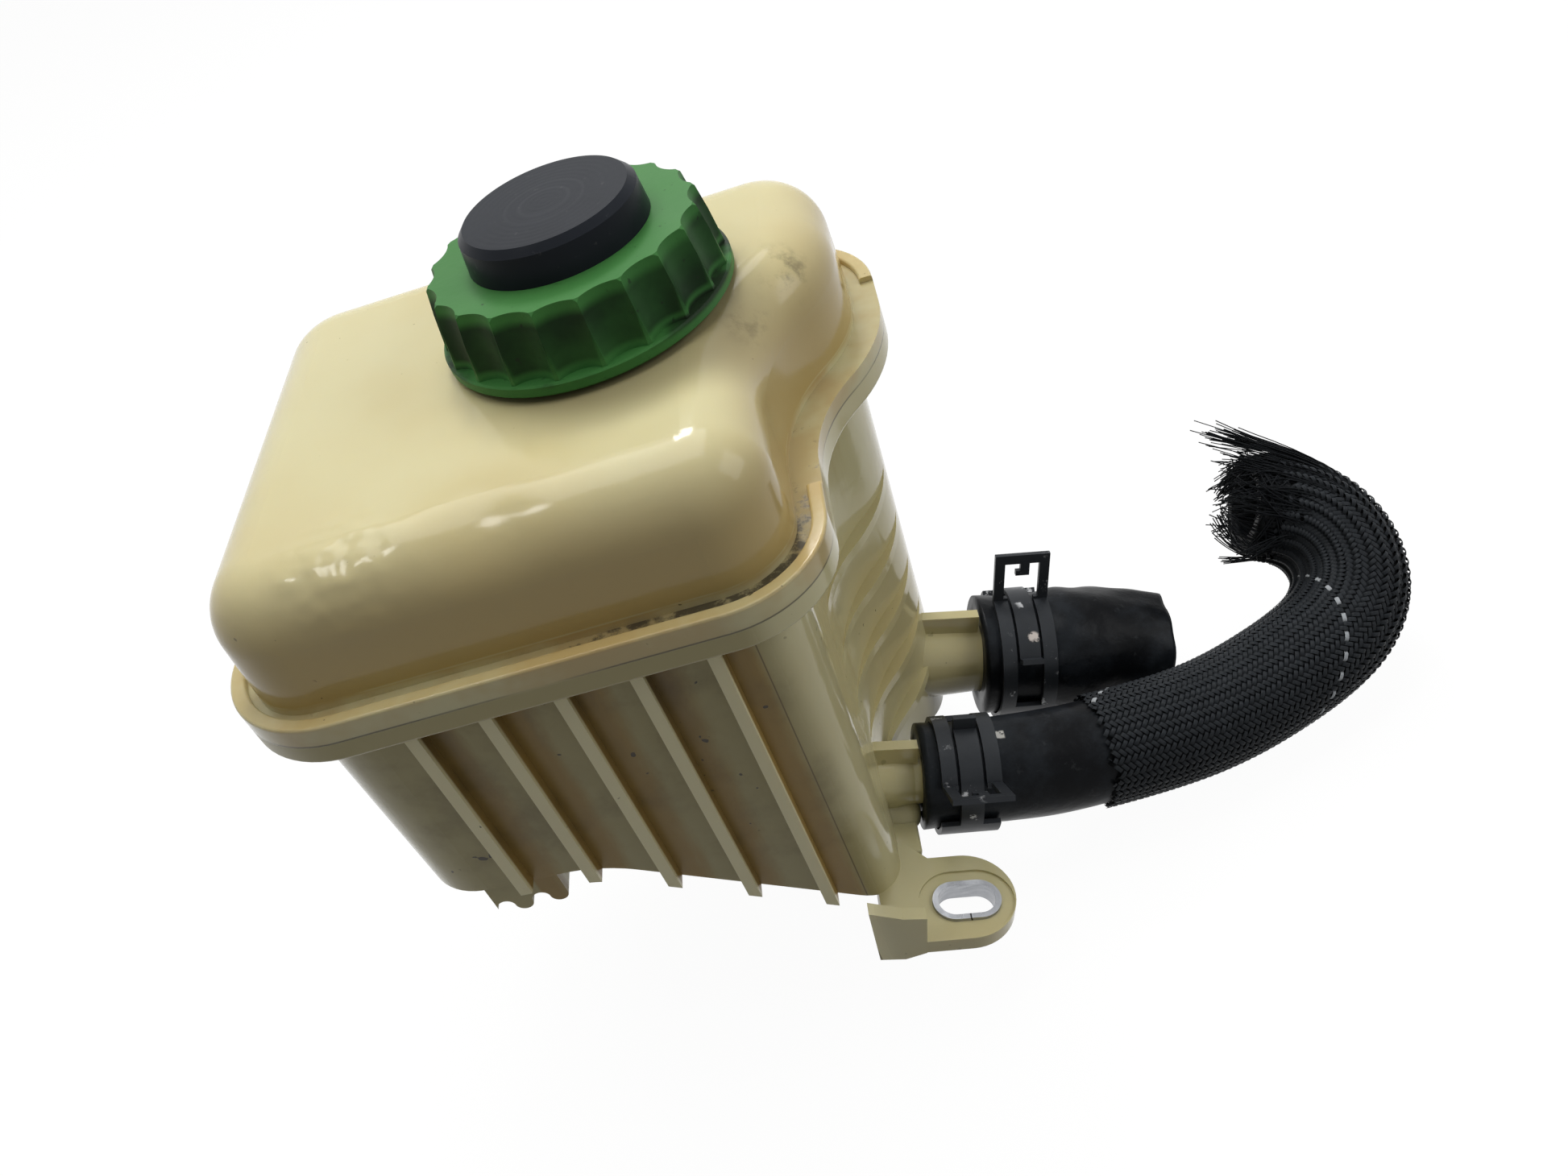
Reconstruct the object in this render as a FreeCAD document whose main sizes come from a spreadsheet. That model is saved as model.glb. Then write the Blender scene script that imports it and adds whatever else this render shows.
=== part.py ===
import FreeCAD, Part
import math
import os

Vector = FreeCAD.Vector
Rotation = FreeCAD.Rotation
Placement = FreeCAD.Placement

# Driving dimensions in millimetres and degrees
SIZES = {
    "tank_length": 119.0,
    "tank_width": 104.4,
    "lobe_setback": 16.2,
    "bend_front_gap": 31.2,
    "bend_back_gap": 29.2,
    "corner_radius": 21.0,
    "front_right_radius": 18.0,
    "upper_height": 23.0,
    "upper_inset": 5.0,
    "upper_corner": 13.0,
    "upper_edge_radius": 11.0,
    "upper_flange": 2.6,
    "lip_height": 1.1,
    "lip_width": 2.6,
    "skirt_depth": 4.4,
    "lower_inset": 7.0,
    "wall": 2.5,
    "draft": 1.7,
    "left_floor": 54.5,
    "ramp_length": 76.5,
    "ramp_start_depth": 57.0,
    "ramp_angle": 34.4,
    "ramp_blend": 26.0,
    "rib_left_margin": 28.7,
    "rib_right_margin": 22.9,
    "rib_pitch": 12.8,
    "rib_width": 2.2,
    "rib_height": 3.0,
    "side_rib_first": 36.0,
    "side_rib_pitch": 12.4,
    "side_rib_count": 5,
    "side_rib_width": 1.9,
    "side_rib_reach": 13.0,
    "foot_margin": 20.0,
    "foot_length": 14.0,
    "foot_width": 40.0,
    "foot_height": 8.0,
    "mount_tilt": 15.0,
    "spigot_root": 6.0,
    "bore_entry": 8.0,
    "suction_inset": 12.0,
    "suction_back": 33.7,
    "suction_rise": 11.664,
    "suction_bore": 11.0,
    "suction_barrel": 16.4,
    "suction_stop": 12.0,
    "suction_grip": 22.0,
    "suction_hose": 27.0,
    "suction_hose_length": 42.0,
    "return_inset": 7.6,
    "return_front": 35.0,
    "return_rise": 8.084,
    "return_bore": 7.0,
    "return_barrel": 11.0,
    "return_stop": 5.5,
    "return_grip": 20.0,
    "return_hose": 22.0,
    "barb_height": 0.9,
    "fin_height": 5.0,
    "fin_width": 2.4,
    "sleeve_start": 42.0,
    "sleeve_wall": 1.0,
    "sleeve_gap": 0.3,
    "clamp_band": 1.1,
    "clamp_width": 12.0,
    "clamp_setback": 3.0,
    "tongue_width": 4.6,
    "clamp_tang": 11.5,
    "clamp_rim": 2.2,
    "clamp_slip": 0.05,
    "strap_turn": 110.0,
    "tongue_turn": 62.0,
    "tongue_root_turn": 46.0,
    "suction_tang_turn": -8.0,
    "return_tang_turn": 54.0,
    "ear_reach": 1.5,
    "ear_inset": 7.1,
    "ear_rise": 6.915,
    "ear_radius": 9.7,
    "ear_shift": 1.0,
    "ear_flare": 4.0,
    "gusset_width": 2.6,
    "ear_thickness": 3.4,
    "slot_length": 11.2,
    "slot_width": 6.6,
    "bush_wall": 1.1,
    "bush_proud": 0.3,
    "pad_width": 2.6,
    "pad_depth": 0.5,
    "cap_x": 12.3,
    "cap_y": 8.5,
    "neck_radius": 19.4,
    "neck_bore": 16.0,
    "seal_thickness": 1.6,
    "thread_height": 0.9,
    "thread_clearance": 0.3,
    "cap_gap": 1.0,
    "ring_height": 13.7,
    "ring_radius": 26.0,
    "ring_top": 3.0,
    "collar_height": 2.2,
    "crest_inset": 0.6,
    "crest_slope": 7.0,
    "flute_count": 20,
    "flute_depth": 1.7,
    "flute_radius": 6.6,
    "knob_radius": 16.0,
    "knob_height": 6.4,
    "knob_bevel": 1.2,
    "stem_radius": 8.0,
    "stem_depth": 7.0,
    "stem_clearance": 0.2,
    "dipstick_radius": 2.0,
    "dipstick_length": 84.0,
    "strainer_y": 0.0,
    "strainer_thickness": 2.0,
    "strainer_clearance": 0.4,
    "strainer_top": 16.0,
    "mesh_thickness": 0.6,
    "window_width": 54.0,
    "window_height": 26.0,
}

doc = FreeCAD.newDocument("power_steering_reservoir")
sheet = doc.addObject("Spreadsheet::Sheet", "Sizes")
for row, (name, number) in enumerate(SIZES.items(), start=1):
    sheet.set(f"A{row}", name)
    sheet.set(f"B{row}", str(number))
    sheet.setAlias(f"B{row}", name)
doc.recompute()


def size(name):
    return float(sheet.get(name))


# Places that several pieces share
HALF_LENGTH = size("tank_length") / 2
HALF_WIDTH = size("tank_width") / 2
STEP = size("lobe_setback")
LOBE_X = HALF_LENGTH - STEP
BEND_START = size("bend_front_gap") - HALF_WIDTH
BEND_END = HALF_WIDTH - size("bend_back_gap")
BEND_RUN = BEND_END - BEND_START
BEND_RADIUS = (BEND_RUN**2 + STEP**2) / (4 * STEP)
BEND_ANGLE = 2 * math.atan2(STEP, BEND_RUN)
SEAM = -size("upper_flange")
SKIRT = SEAM - size("skirt_depth")
DRAFT = math.tan(math.radians(size("draft")))
RAMP = math.tan(math.radians(size("ramp_angle")))
TILT = Rotation(Vector(0, 1, 0), size("mount_tilt"))
CAP_SPOT = Vector(size("cap_x"), size("cap_y"), 0)
COLLAR = size("upper_height") + size("cap_gap")
RING_TOP = COLLAR + size("ring_height")
NECK_TOP = RING_TOP - size("ring_top") - size("seal_thickness")
RAMP_START = HALF_LENGTH - size("ramp_length")
DEEP = 150.0


def floor_depth(x):
    """Gives the floor's height at a place along the ramp."""
    return -size("ramp_start_depth") - max(0.0, x - RAMP_START) * RAMP


def beside_floor(x, y, rise):
    """Gives a tilted frame at a height above the floor line."""
    return Placement(Vector(x, y, floor_depth(x) + rise), TILT)


SUCTION = beside_floor(
    HALF_LENGTH - size("suction_inset"), HALF_WIDTH - size("suction_back"), size("suction_rise")
)
RETURN = beside_floor(
    LOBE_X - size("return_inset"), size("return_front") - HALF_WIDTH, size("return_rise")
)
EAR = beside_floor(LOBE_X + size("ear_reach"), size("ear_inset") - HALF_WIDTH, size("ear_rise"))


def new_body(label, placement=Placement()):
    made = doc.addObject("PartDesign::Body", label)
    made.Placement = placement
    return made


def new_sketch(body, plane, offset=Placement()):
    made = body.newObject("Sketcher::SketchObject", body.Name + "_sketch")
    origin = next(item for item in body.Origin.OriginFeatures if item.Role == plane)
    made.AttachmentSupport = [(origin, "")]
    made.MapMode = "FlatFace"
    made.AttachmentOffset = offset
    return made


def at_height(height):
    return Placement(Vector(0, 0, height), Rotation())


def add_line(sketch, start, end):
    sketch.addGeometry(Part.LineSegment(Vector(*start, 0), Vector(*end, 0)), False)


def add_arc(sketch, centre, radius, start, end):
    circle = Part.Circle(Vector(*centre, 0), Vector(0, 0, 1), radius)
    sketch.addGeometry(Part.ArcOfCircle(circle, math.radians(start), math.radians(end)), False)


def add_circle(sketch, centre, radius):
    sketch.addGeometry(Part.Circle(Vector(*centre, 0), Vector(0, 0, 1), radius), False)


def add_polygon(sketch, points):
    for start, end in zip(points, points[1:] + points[:1]):
        add_line(sketch, start, end)


def add_box(sketch, left, right, low, high):
    add_polygon(sketch, [(left, low), (right, low), (right, high), (left, high)])


def add_slot(sketch, half_straight, radius):
    add_line(sketch, (-half_straight, -radius), (half_straight, -radius))
    add_arc(sketch, (half_straight, 0), radius, -90, 90)
    add_line(sketch, (half_straight, radius), (-half_straight, radius))
    add_arc(sketch, (-half_straight, 0), radius, 90, 270)


def add_outline(sketch, inset, corner=None):
    """Draws the tank's plan with its S bend on the right, drawn in by the inset."""
    left = -HALF_LENGTH + inset
    right = HALF_LENGTH - inset
    lobe = LOBE_X - inset
    front = -HALF_WIDTH + inset
    back = HALF_WIDTH - inset
    corner = corner or size("corner_radius") - inset
    near = min(corner, size("front_right_radius") - inset)
    turn = math.degrees(BEND_ANGLE)
    add_line(sketch, (left + corner, front), (lobe - near, front))
    add_arc(sketch, (lobe - near, front + near), near, -90, 0)
    add_line(sketch, (lobe, front + near), (lobe, BEND_START))
    hollow = (LOBE_X + BEND_RADIUS, BEND_START)
    add_arc(sketch, hollow, BEND_RADIUS + inset, 180 - turn, 180)
    add_arc(sketch, (HALF_LENGTH - BEND_RADIUS, BEND_END), BEND_RADIUS - inset, -turn, 0)
    add_line(sketch, (right, BEND_END), (right, back - corner))
    add_arc(sketch, (right - corner, back - corner), corner, 0, 90)
    add_line(sketch, (right - corner, back), (left + corner, back))
    add_arc(sketch, (left + corner, back - corner), corner, 90, 180)
    add_line(sketch, (left, back - corner), (left, front + corner))
    add_arc(sketch, (left + corner, front + corner), corner, 180, 270)


def add_pad(body, sketch, length, reverse=False, both=False):
    made = body.newObject("PartDesign::Pad", body.Name + "_pad")
    made.Profile = sketch
    if isinstance(length, str):
        made.setExpression("Length", length)
    else:
        made.Length = length
    made.Reversed = reverse
    made.Midplane = both
    sketch.Visibility = False
    doc.recompute()
    return made


def add_pocket(body, sketch, length, reverse=False, both=False, taper=0.0):
    before = body.Shape.Volume
    made = body.newObject("PartDesign::Pocket", body.Name + "_pocket")
    made.Profile = sketch
    if isinstance(length, str):
        made.setExpression("Length", length)
    else:
        made.Length = length
    made.Reversed = reverse
    made.Midplane = both
    made.TaperAngle = taper
    sketch.Visibility = False
    doc.recompute()
    if body.Shape.Volume > before - 0.01:
        raise RuntimeError(made.Name + " removes nothing")
    return made


def add_revolution(body, sketch, axis="V_Axis", angle=360.0):
    made = body.newObject("PartDesign::Revolution", body.Name + "_revolution")
    made.Profile = sketch
    made.ReferenceAxis = (sketch, [axis])
    made.Angle = angle
    sketch.Visibility = False
    doc.recompute()
    return made


def add_fillet(body, radius, chosen):
    base = body.Tip
    names = [f"Edge{n}" for n, edge in enumerate(base.Shape.Edges, start=1) if chosen(edge)]
    made = body.newObject("PartDesign::Fillet", body.Name + "_fillet")
    made.Base = (base, names)
    if isinstance(radius, str):
        made.setExpression("Radius", radius)
    else:
        made.Radius = radius
    doc.recompute()
    return made


def tapered(label, top, bottom, top_inset, bottom_inset, corner=None):
    """Makes a drafted block between two outlines of the tank's plan."""
    body = new_body(label)
    upper = new_sketch(body, "XY_Plane", at_height(top))
    add_outline(upper, top_inset, corner)
    lower = new_sketch(body, "XY_Plane", at_height(bottom))
    add_outline(lower, bottom_inset, corner)
    doc.recompute()
    loft = body.newObject("PartDesign::AdditiveLoft", label + "_loft")
    loft.Profile = upper
    loft.Sections = [lower]
    loft.Ruled = True
    doc.recompute()
    return body


def fuse(label, parts):
    made = doc.addObject("Part::MultiFuse", label)
    made.Shapes = parts
    doc.recompute()
    return made


def cut(label, base, tool):
    made = doc.addObject("Part::Cut", label)
    made.Base = base
    made.Tool = tool
    doc.recompute()
    if made.Shape.Volume > base.Shape.Volume - 0.01:
        raise RuntimeError(label + " cuts nothing")
    return made


def common(label, first, second):
    made = doc.addObject("Part::Common", label)
    made.Base = first
    made.Tool = second
    doc.recompute()
    return made


def flat_edge(edge, height):
    box = edge.BoundBox
    return abs(box.ZMin - height) < 0.01 and abs(box.ZMax - height) < 0.01


def turned(label, profile, placement, axis="H_Axis"):
    """Spins a closed profile in a body's own XZ plane about its X or Z axis."""
    body = new_body(label, placement)
    sketch = new_sketch(body, "XZ_Plane")
    add_polygon(sketch, profile)
    doc.recompute()
    add_revolution(body, sketch, axis)
    return body


# Upper shell: a drafted dome with soft edges on a flange with a raised lip
def make_upper_shell():
    height = size("upper_height")
    wall = size("wall")
    inset = size("upper_inset")
    lean = DRAFT * height
    corner = size("upper_corner")
    dome = tapered("upper_dome", height, -0.5, inset + lean, inset, corner)
    add_fillet(dome, "Sizes.upper_edge_radius", lambda edge: flat_edge(edge, height))
    inner = inset + wall
    hollow = tapered("upper_hollow", height - wall, SEAM - 1, inner + lean, inner, corner - wall)
    add_fillet(hollow, size("upper_edge_radius") - wall, lambda edge: flat_edge(edge, height - wall))

    plate = new_body("upper_plate")
    sketch = new_sketch(plate, "XY_Plane")
    add_outline(sketch, 0)
    add_pad(plate, sketch, "Sizes.upper_flange", reverse=True)

    lip = new_body("upper_lip")
    sketch = new_sketch(lip, "XY_Plane", at_height(-0.2))
    add_outline(sketch, 0)
    add_outline(sketch, size("lip_width"))
    add_pad(lip, sketch, size("lip_height") + 0.2)
    gap = new_sketch(lip, "XY_Plane")
    start = BEND_START - 6
    add_box(gap, LOBE_X - 12, HALF_LENGTH + 5, start, BEND_END + 8)
    add_pocket(lip, gap, DEEP, both=True)
    long_edge = 2 * size("lip_width")
    add_fillet(lip, 0.5, lambda edge: flat_edge(edge, size("lip_height")) and edge.Length > long_edge)

    neck = turned(
        "filler_neck",
        [
            (0, height - 6),
            (size("neck_radius") + 3, height - 6),
            (size("neck_radius") + 2.5, height),
            (size("neck_radius") + 0.4, height + 0.7),
            (size("neck_radius"), height + 1.4),
            (size("neck_radius"), NECK_TOP - 0.6),
            (size("neck_radius") - 0.6, NECK_TOP),
            (0, NECK_TOP),
        ],
        Placement(CAP_SPOT, Rotation()),
        "V_Axis",
    )
    bore = doc.addObject("Part::Cylinder", "neck_bore_tool")
    bore.setExpression("Radius", "Sizes.neck_bore")
    bore.Height = DEEP
    bore.Placement.Base = CAP_SPOT
    shell = cut("upper_skin", fuse("upper_solid", [dome, plate, lip]), hollow)
    neck_fitted = fuse("upper_with_neck", [shell, neck])
    made = cut("upper_shell", neck_fitted, bore)
    return made


def ramp_outline(sketch, rise):
    """Draws the region below the floor line, which runs level and then ramps down."""
    left = -HALF_LENGTH - 20
    right = HALF_LENGTH + 20
    corner_x = RAMP_START
    corner_z = -size("ramp_start_depth") + rise
    level = math.atan2(size("ramp_start_depth") - size("left_floor"), corner_x + HALF_LENGTH)
    slope = math.radians(size("ramp_angle"))
    radius = size("ramp_blend")
    reach = radius * math.tan((slope - level) / 2)
    first = (corner_x - reach * math.cos(level), corner_z + reach * math.sin(level))
    second = (corner_x + reach * math.cos(slope), corner_z - reach * math.sin(slope))
    centre = (first[0] - radius * math.sin(level), first[1] - radius * math.cos(level))
    start = (left, first[1] + (first[0] - left) * math.tan(level))
    end = (right, second[1] - (right - second[0]) * math.tan(slope))
    add_line(sketch, start, first)
    add_arc(sketch, centre, radius, 90 - math.degrees(slope), 90 - math.degrees(level))
    add_line(sketch, second, end)
    add_line(sketch, end, (right, -DEEP))
    add_line(sketch, (right, -DEEP), (left, -DEEP))
    add_line(sketch, (left, -DEEP), start)


def floor_tool(label, rise):
    body = new_body(label)
    sketch = new_sketch(body, "XZ_Plane")
    ramp_outline(sketch, rise)
    doc.recompute()
    add_pad(body, sketch, 3 * HALF_WIDTH, both=True)
    return body


# Spigot: a barrel with a stop fin, a plain grip and a barb at its mouth
def spigot_profile(name, root):
    barrel = size(name + "_barrel") / 2
    stop = size(name + "_stop")
    mouth = stop + size(name + "_grip")
    barb = barrel + size("barb_height")
    return [
        (-root, 0),
        (-root, barrel + 0.6),
        (0, barrel + 0.6),
        (stop - 1.5, barrel),
        (mouth - 6, barrel),
        (mouth - 5, barb),
        (mouth - 0.5, barrel - 0.4),
        (mouth, barrel - 0.8),
        (mouth, 0),
    ]


def make_spigot(name, placement, root):
    spigot = turned(name + "_spigot", spigot_profile(name, root), placement)
    fin = new_body(name + "_fin", placement)
    sketch = new_sketch(fin, "XZ_Plane")
    top = size(name + "_barrel") / 2 + size("fin_height")
    stop = size(name + "_stop")
    add_polygon(sketch, [(-root, 0), (stop - 0.6, 0), (stop - 0.6, top - 0.5), (-root, top)])
    doc.recompute()
    add_pad(fin, sketch, "Sizes.fin_width", both=True)
    return [spigot, fin]


def bore_tool(name, placement, root):
    tool = doc.addObject("Part::Cylinder", name + "_bore_tool")
    tool.setExpression("Radius", f"Sizes.{name}_bore / 2")
    tool.Height = root + size(name + "_stop") + size(name + "_grip") + 5
    along = Placement(Vector(-root, 0, 0), Rotation(Vector(0, 1, 0), 90))
    tool.Placement = placement.multiply(along)
    return tool


# Ear: a plate with a slot, a pad ring round it and a gusset wall at its front
def make_ear():
    radius = size("ear_radius")
    thick = size("ear_thickness")
    plate = new_body("ear_plate", EAR)
    sketch = new_sketch(plate, "XY_Plane")
    shift = size("ear_shift")
    flare = size("ear_flare")
    back = shift + radius
    front = shift - radius
    root = ear_root()
    add_line(sketch, (root, front), (0, front))
    add_arc(sketch, (0, shift), radius, -90, 90)
    add_line(sketch, (0, back), (-1.5 * flare, back))
    add_line(sketch, (-1.5 * flare, back), (-2.5 * flare, back + flare))
    add_line(sketch, (-2.5 * flare, back + flare), (root, back + flare))
    add_line(sketch, (root, back + flare), (root, front))
    doc.recompute()
    add_pad(plate, sketch, "Sizes.ear_thickness", reverse=True)
    ring = new_sketch(plate, "XY_Plane", at_height(-size("pad_depth")))
    straight = (size("slot_length") - size("slot_width")) / 2
    add_slot(ring, straight, size("slot_width") / 2 + size("bush_wall") + size("pad_width"))
    add_pocket(plate, ring, 2 * size("pad_depth"), reverse=True)

    gusset = new_body("ear_gusset", EAR)
    width = size("gusset_width")
    sketch = new_sketch(gusset, "XZ_Plane", Placement(Vector(0, 0, 0.1 - front - width / 2), Rotation()))
    outer = [(-9, -thick), (-9.5, 7.5), (-14, 8)]
    inner = [(root - 3.7, 10.5), (root - 1.2, -thick - 1), (-13, -thick - 1.5)]
    add_polygon(sketch, outer + inner)
    doc.recompute()
    add_pad(gusset, sketch, "Sizes.gusset_width", both=True)
    return [plate, gusset]


def ear_root():
    """Gives the place where the ear's upper face runs into the ramp, just inside the wall."""
    tilt = math.radians(size("mount_tilt"))
    run = size("ear_rise") / (RAMP - math.tan(tilt))
    return -run / math.cos(tilt) + size("wall") / 6


def slot_tool(label, wall, length):
    body = new_body(label, EAR)
    sketch = new_sketch(body, "XY_Plane")
    straight = (size("slot_length") - size("slot_width")) / 2
    add_slot(sketch, straight, size("slot_width") / 2 + wall)
    doc.recompute()
    add_pad(body, sketch, length, both=True)
    return body


# Lower shell: a drafted box with a ramped floor, ribs, spigots, foot and ear
def make_lower_shell():
    deepest = floor_depth(HALF_LENGTH) - 2
    inset = size("lower_inset")
    wall = size("wall")
    lean = DRAFT * (SEAM - deepest)
    block = tapered("lower_block", SEAM, deepest, inset, inset + lean)
    below = floor_tool("floor_tool", 0)
    box = cut("lower_box", block, below)
    hollow_block = tapered("lower_hollow_block", SEAM + 1, deepest, inset + wall, inset + wall + lean)
    below_inner = floor_tool("inner_floor_tool", wall)
    hollow = cut("lower_hollow", hollow_block, below_inner)

    skirt = new_body("skirt")
    sketch = new_sketch(skirt, "XY_Plane", at_height(SEAM))
    add_outline(sketch, 0)
    add_pad(skirt, sketch, "Sizes.skirt_depth", reverse=True)
    add_fillet(skirt, 0.8, lambda edge: flat_edge(edge, SKIRT))

    ribs = make_front_ribs(deepest)
    ribs_cut = cut("front_ribs_trimmed", ribs, below)
    rounds = make_side_ribs()

    root = size("spigot_root")
    outside = [box, skirt, ribs_cut] + rounds + [make_foot()]
    outside += make_spigot("suction", SUCTION, root) + make_spigot("return", RETURN, root)
    outside += make_ear()
    solid = fuse("lower_solid", outside)
    bores = fuse(
        "lower_bores",
        [
            hollow,
            bore_tool("suction", SUCTION, root + size("bore_entry")),
            bore_tool("return", RETURN, root + size("bore_entry")),
            slot_tool("ear_slot_tool", size("bush_wall"), 4 * size("ear_thickness")),
        ],
    )
    return cut("lower_shell", solid, bores)


def make_front_ribs(deepest):
    """Makes the row of upright ribs on the front wall and the same row at the back."""
    ribs = new_body("upright_ribs")
    first = size("rib_left_margin") - HALF_LENGTH
    room = LOBE_X - size("rib_right_margin") - first
    count = int(room / size("rib_pitch") + 0.01) + 1
    crest = HALF_WIDTH - size("lower_inset") + size("rib_height")
    inner = crest - size("rib_height") - 1.5
    top = SKIRT + 0.5
    lean = DRAFT * (SEAM - deepest)
    for side in (-1, 1):
        offset = Placement(Vector(0, 0, first), Rotation())
        sketch = new_sketch(ribs, "YZ_Plane", offset)
        outer = [(side * inner, top), (side * crest, top), (side * (crest - lean), deepest)]
        add_polygon(sketch, outer + [(side * (inner - lean), deepest)])
        doc.recompute()
        pad = add_pad(ribs, sketch, "Sizes.rib_width", both=True)
        row = ribs.newObject("PartDesign::LinearPattern", "rib_row")
        row.Originals = [pad]
        row.Direction = (sketch, ["N_Axis"])
        row.Length = size("rib_pitch") * (count - 1)
        row.Occurrences = count
        ribs.Tip = row
        doc.recompute()
    return ribs


def make_side_ribs():
    """Makes the level ribs that fill the S bend and fade out at both ends."""
    rounds = []
    turn = math.degrees(BEND_ANGLE)
    for index in range(int(size("side_rib_count"))):
        depth = size("side_rib_first") + index * size("side_rib_pitch")
        inset = size("lower_inset") + DRAFT * (depth + SEAM)
        rib = new_body(f"side_rib_{index + 1}")
        sketch = new_sketch(rib, "XY_Plane", at_height(-depth))
        low = (LOBE_X - inset, BEND_START)
        high = (HALF_LENGTH - inset, BEND_END)
        first = BEND_RADIUS + inset - size("side_rib_reach")
        second = BEND_RADIUS - inset + size("side_rib_reach")
        add_arc(sketch, (low[0] + first, low[1]), first, 180 - turn, 180)
        add_arc(sketch, (high[0] - second, high[1]), second, -turn, 0)
        add_line(sketch, high, (high[0] - 6, high[1]))
        add_line(sketch, (high[0] - 6, high[1]), (low[0] - 6, low[1]))
        add_line(sketch, (low[0] - 6, low[1]), low)
        doc.recompute()
        add_pad(rib, sketch, "Sizes.side_rib_width", both=True)
        rounds.append(rib)
    return rounds


def make_foot():
    """Makes the block with three round corrugations under the shallow end."""
    left = size("foot_margin") - HALF_LENGTH
    foot = new_body("foot", Placement(Vector(left, 0, -size("left_floor")), Rotation()))
    sketch = new_sketch(foot, "XZ_Plane")
    length = size("foot_length")
    drop = size("foot_height")
    radius = length / 8
    add_line(sketch, (0, 4), (0, -drop))
    for index in range(4):
        start = length / 4 * index
        add_arc(sketch, (start + radius, -drop), radius, 180 if index % 2 else 0, 360 if index % 2 else 180)
    add_line(sketch, (length, -drop), (length, 4))
    add_line(sketch, (length, 4), (0, 4))
    doc.recompute()
    shift = size("foot_width") / 2 - HALF_WIDTH + size("lower_inset") + 2.0
    foot.Placement.Base.y = shift
    add_pad(foot, sketch, "Sizes.foot_width", both=True)
    return foot


def make_bush():
    """Makes the metal bush that lines the ear's slot."""
    body = new_body("mounting_bush", EAR)
    sketch = new_sketch(body, "XY_Plane", at_height(size("bush_proud")))
    straight = (size("slot_length") - size("slot_width")) / 2
    add_slot(sketch, straight, size("slot_width") / 2 + size("bush_wall"))
    add_slot(sketch, straight, size("slot_width") / 2)
    doc.recompute()
    add_pad(body, sketch, size("ear_thickness") + 2 * size("bush_proud"), reverse=True)
    return body


# Cap: a fluted ring, a pressed-in knob, a seal and a dipstick
def make_ring():
    height = size("ring_height")
    radius = size("ring_radius")
    collar = size("collar_height")
    crest = radius - size("crest_inset")
    slope = math.tan(math.radians(size("crest_slope")))
    crest_top = crest - slope * (height - collar)
    bore = size("neck_radius") + size("thread_height") + size("thread_clearance")
    hole = size("stem_radius") + size("stem_clearance")
    inner_top = height - size("ring_top")
    body = new_body("cap_ring", Placement(CAP_SPOT + Vector(0, 0, COLLAR), Rotation()))
    sketch = new_sketch(body, "XZ_Plane")
    profile = [
        (bore, 0),
        (radius - 0.4, 0),
        (radius, 0.4),
        (radius, collar - 0.3),
        (radius - 0.3, collar),
        (crest, collar),
        (crest_top + 0.1, height - 0.8),
        (crest_top - 0.7, height),
        (hole, height),
        (hole, inner_top),
        (bore, inner_top),
    ]
    add_polygon(sketch, profile)
    doc.recompute()
    add_revolution(body, sketch)
    flutes = new_sketch(body, "XY_Plane", at_height(height))
    reach = crest_top - size("flute_depth") + size("flute_radius")
    add_circle(flutes, (0, -reach), size("flute_radius"))
    pocket = add_pocket(body, flutes, height - collar, taper=-size("crest_slope"))
    pattern = body.newObject("PartDesign::PolarPattern", "flute_pattern")
    pattern.Originals = [pocket]
    pattern.Axis = (flutes, ["N_Axis"])
    pattern.Angle = 360
    pattern.Occurrences = int(size("flute_count"))
    body.Tip = pattern
    doc.recompute()
    return body


def make_knob():
    radius = size("knob_radius")
    height = size("knob_height")
    stem = size("stem_radius")
    spot = CAP_SPOT + Vector(0, 0, RING_TOP)
    profile = [
        (0, -size("stem_depth")),
        (stem - 0.8, -size("stem_depth")),
        (stem, -size("stem_depth") + 0.8),
        (stem, 0.02),
        (radius, 0.02),
        (radius - 0.5, height - size("knob_bevel")),
        (radius - 0.5 - size("knob_bevel"), height),
        (0, height),
    ]
    knob = turned("knob_solid", profile, Placement(spot, Rotation()), "V_Axis")
    hole = doc.addObject("Part::Cylinder", "knob_socket_tool")
    hole.setExpression("Radius", "Sizes.dipstick_radius")
    hole.Height = 5
    hole.Placement.Base = spot + Vector(0, 0, -size("stem_depth") - 1)
    return cut("cap_knob", knob, hole)


def make_seal():
    """Makes the flat ring that the cap presses on the neck's rim."""
    outer = size("neck_radius") + 0.2
    body = new_body("cap_seal", Placement(CAP_SPOT + Vector(0, 0, NECK_TOP), Rotation()))
    sketch = new_sketch(body, "XY_Plane")
    add_circle(sketch, (0, 0), outer)
    add_circle(sketch, (0, 0), size("neck_bore") + 0.4)
    doc.recompute()
    add_pad(body, sketch, "Sizes.seal_thickness")
    return body


def make_dipstick():
    """Makes the round stick with its flat measuring blade."""
    radius = size("dipstick_radius")
    length = size("dipstick_length")
    top = RING_TOP - size("stem_depth") + 4
    spot = CAP_SPOT + Vector(0, 0, top)
    rod = turned(
        "dipstick_rod",
        [(0, 0), (radius, 0), (radius, -length * 0.6), (0, -length * 0.6)],
        Placement(spot, Rotation()),
        "V_Axis",
    )
    blade = new_body("dipstick_blade", Placement(spot, Rotation()))
    sketch = new_sketch(blade, "XZ_Plane")
    half = radius + 0.8
    add_polygon(
        sketch,
        [
            (-half, -length * 0.55),
            (-half, -length + half),
            (-half / 2, -length),
            (half / 2, -length),
            (half, -length + half),
            (half, -length * 0.55),
        ],
    )
    doc.recompute()
    add_pad(blade, sketch, 1.6, both=True)
    return fuse("dipstick", [rod, blade])


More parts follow.
